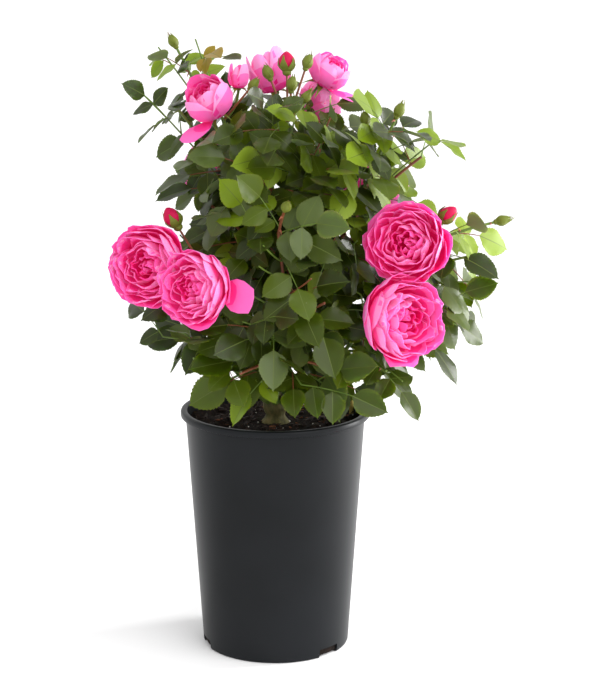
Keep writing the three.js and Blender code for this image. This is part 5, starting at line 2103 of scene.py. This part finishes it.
@dataclass(frozen=True)
class Studio:
    """The camera, the pale floor and the soft light."""

    eye: Point = (0.0248, -1.9975, 0.7582)
    target: Point = (0.0248, 0, 0.3122)
    lens: float = 108.17

    @staticmethod
    def _aimed(lamp_or_lens: bpy.types.ID, place: Sequence[float], aim: Sequence[float]) -> Piece:
        """Puts up a light or a camera.

        Args:
            lamp_or_lens: its data.
            place: where it stands, in metres.
            aim: the point that it faces.

        Returns:
            Its object.
        """
        made = bpy.data.objects.new(lamp_or_lens.name, lamp_or_lens)
        bpy.context.scene.collection.objects.link(made)
        made.location = place
        made.rotation_euler = (Vector(aim) - Vector(place)).to_track_quat("-Z", "Y").to_euler()
        return made

    def _camera(self) -> None:
        """Puts up the camera."""
        lens = bpy.data.cameras.new("camera")
        lens.lens = self.lens
        lens.clip_end = 200
        bpy.context.scene.camera = self._aimed(lens, self.eye, self.target)

    def _floor(self) -> None:
        """Lays the floor: a wide sheet of matt white paper."""
        deselect_all()
        bpy.ops.mesh.primitive_plane_add(size=80)
        floor = bpy.context.object
        floor.name = "floor"
        paper = Finish("matt_white_paper", ("#f4f4f4", "#f7f7f7"), 0.95, Grain(400))
        floor.data.materials.append(paper.make())

    def _light(self, name: str, kind: str, place: Sequence[float], aim: Sequence[float],
               **settings: Any) -> None:
        """Adds a light.

        Args:
            name: its name.
            kind: the light's type.
            place: where it stands, in metres.
            aim: the point that it faces.
            settings: its properties.
        """
        light = bpy.data.lights.new(name, kind)
        for key, value in settings.items():
            setattr(light, key, value)
        self._aimed(light, place, aim)

    def build(self) -> None:
        """Sets up the whole studio."""
        scene = bpy.context.scene
        scene.view_settings.view_transform = "Standard"
        world = bpy.data.worlds.new("soft_surround")
        world.use_nodes = True
        sky = world.node_tree.nodes["Background"]
        sky.inputs["Color"].default_value = (1, 1, 1, 1)
        sky.inputs["Strength"].default_value = 1.0
        scene.world = world
        self._camera()
        self._floor()
        self._light("key", "SUN", (1.9, -1.7, 2.4), (0, 0, 0.4), energy=1.9, angle=radians(60))
        self._light("side_strip", "AREA", (1.55, 0.42, 0.5), (0, 0, 0.2), energy=40, shape="RECTANGLE",
                    size=0.5,
                    size_y=1.4)
        LOG.info("studio: camera, floor and lights")


# ---------------- the whole plant


def main() -> None:
    """Builds the studio, then the plant from the pot up."""
    logging.basicConfig(level=logging.INFO, format="%(message)s")
    Studio().build()
    growth = Growth()
    for sweep in (FIRST_SWEEP, *FINER_SWEEPS):
        for mass in growth.masses:
            growth.grow_leaves(mass, sweep)
        if sweep is FIRST_SWEEP:
            for mass in growth.masses:
                growth.grow_twigs(mass)
        LOG.info("leaflets: %d", growth.leaflet_count())
    growth.open_up()
    LOG.info("leaflets that are left: %d", growth.leaflet_count())
    NurseryPot().build()
    Compost().build()
    Wood(growth).build()
    Foliage(growth).build()
    Flowers(growth).build()


if __name__ == "__main__":
    main()
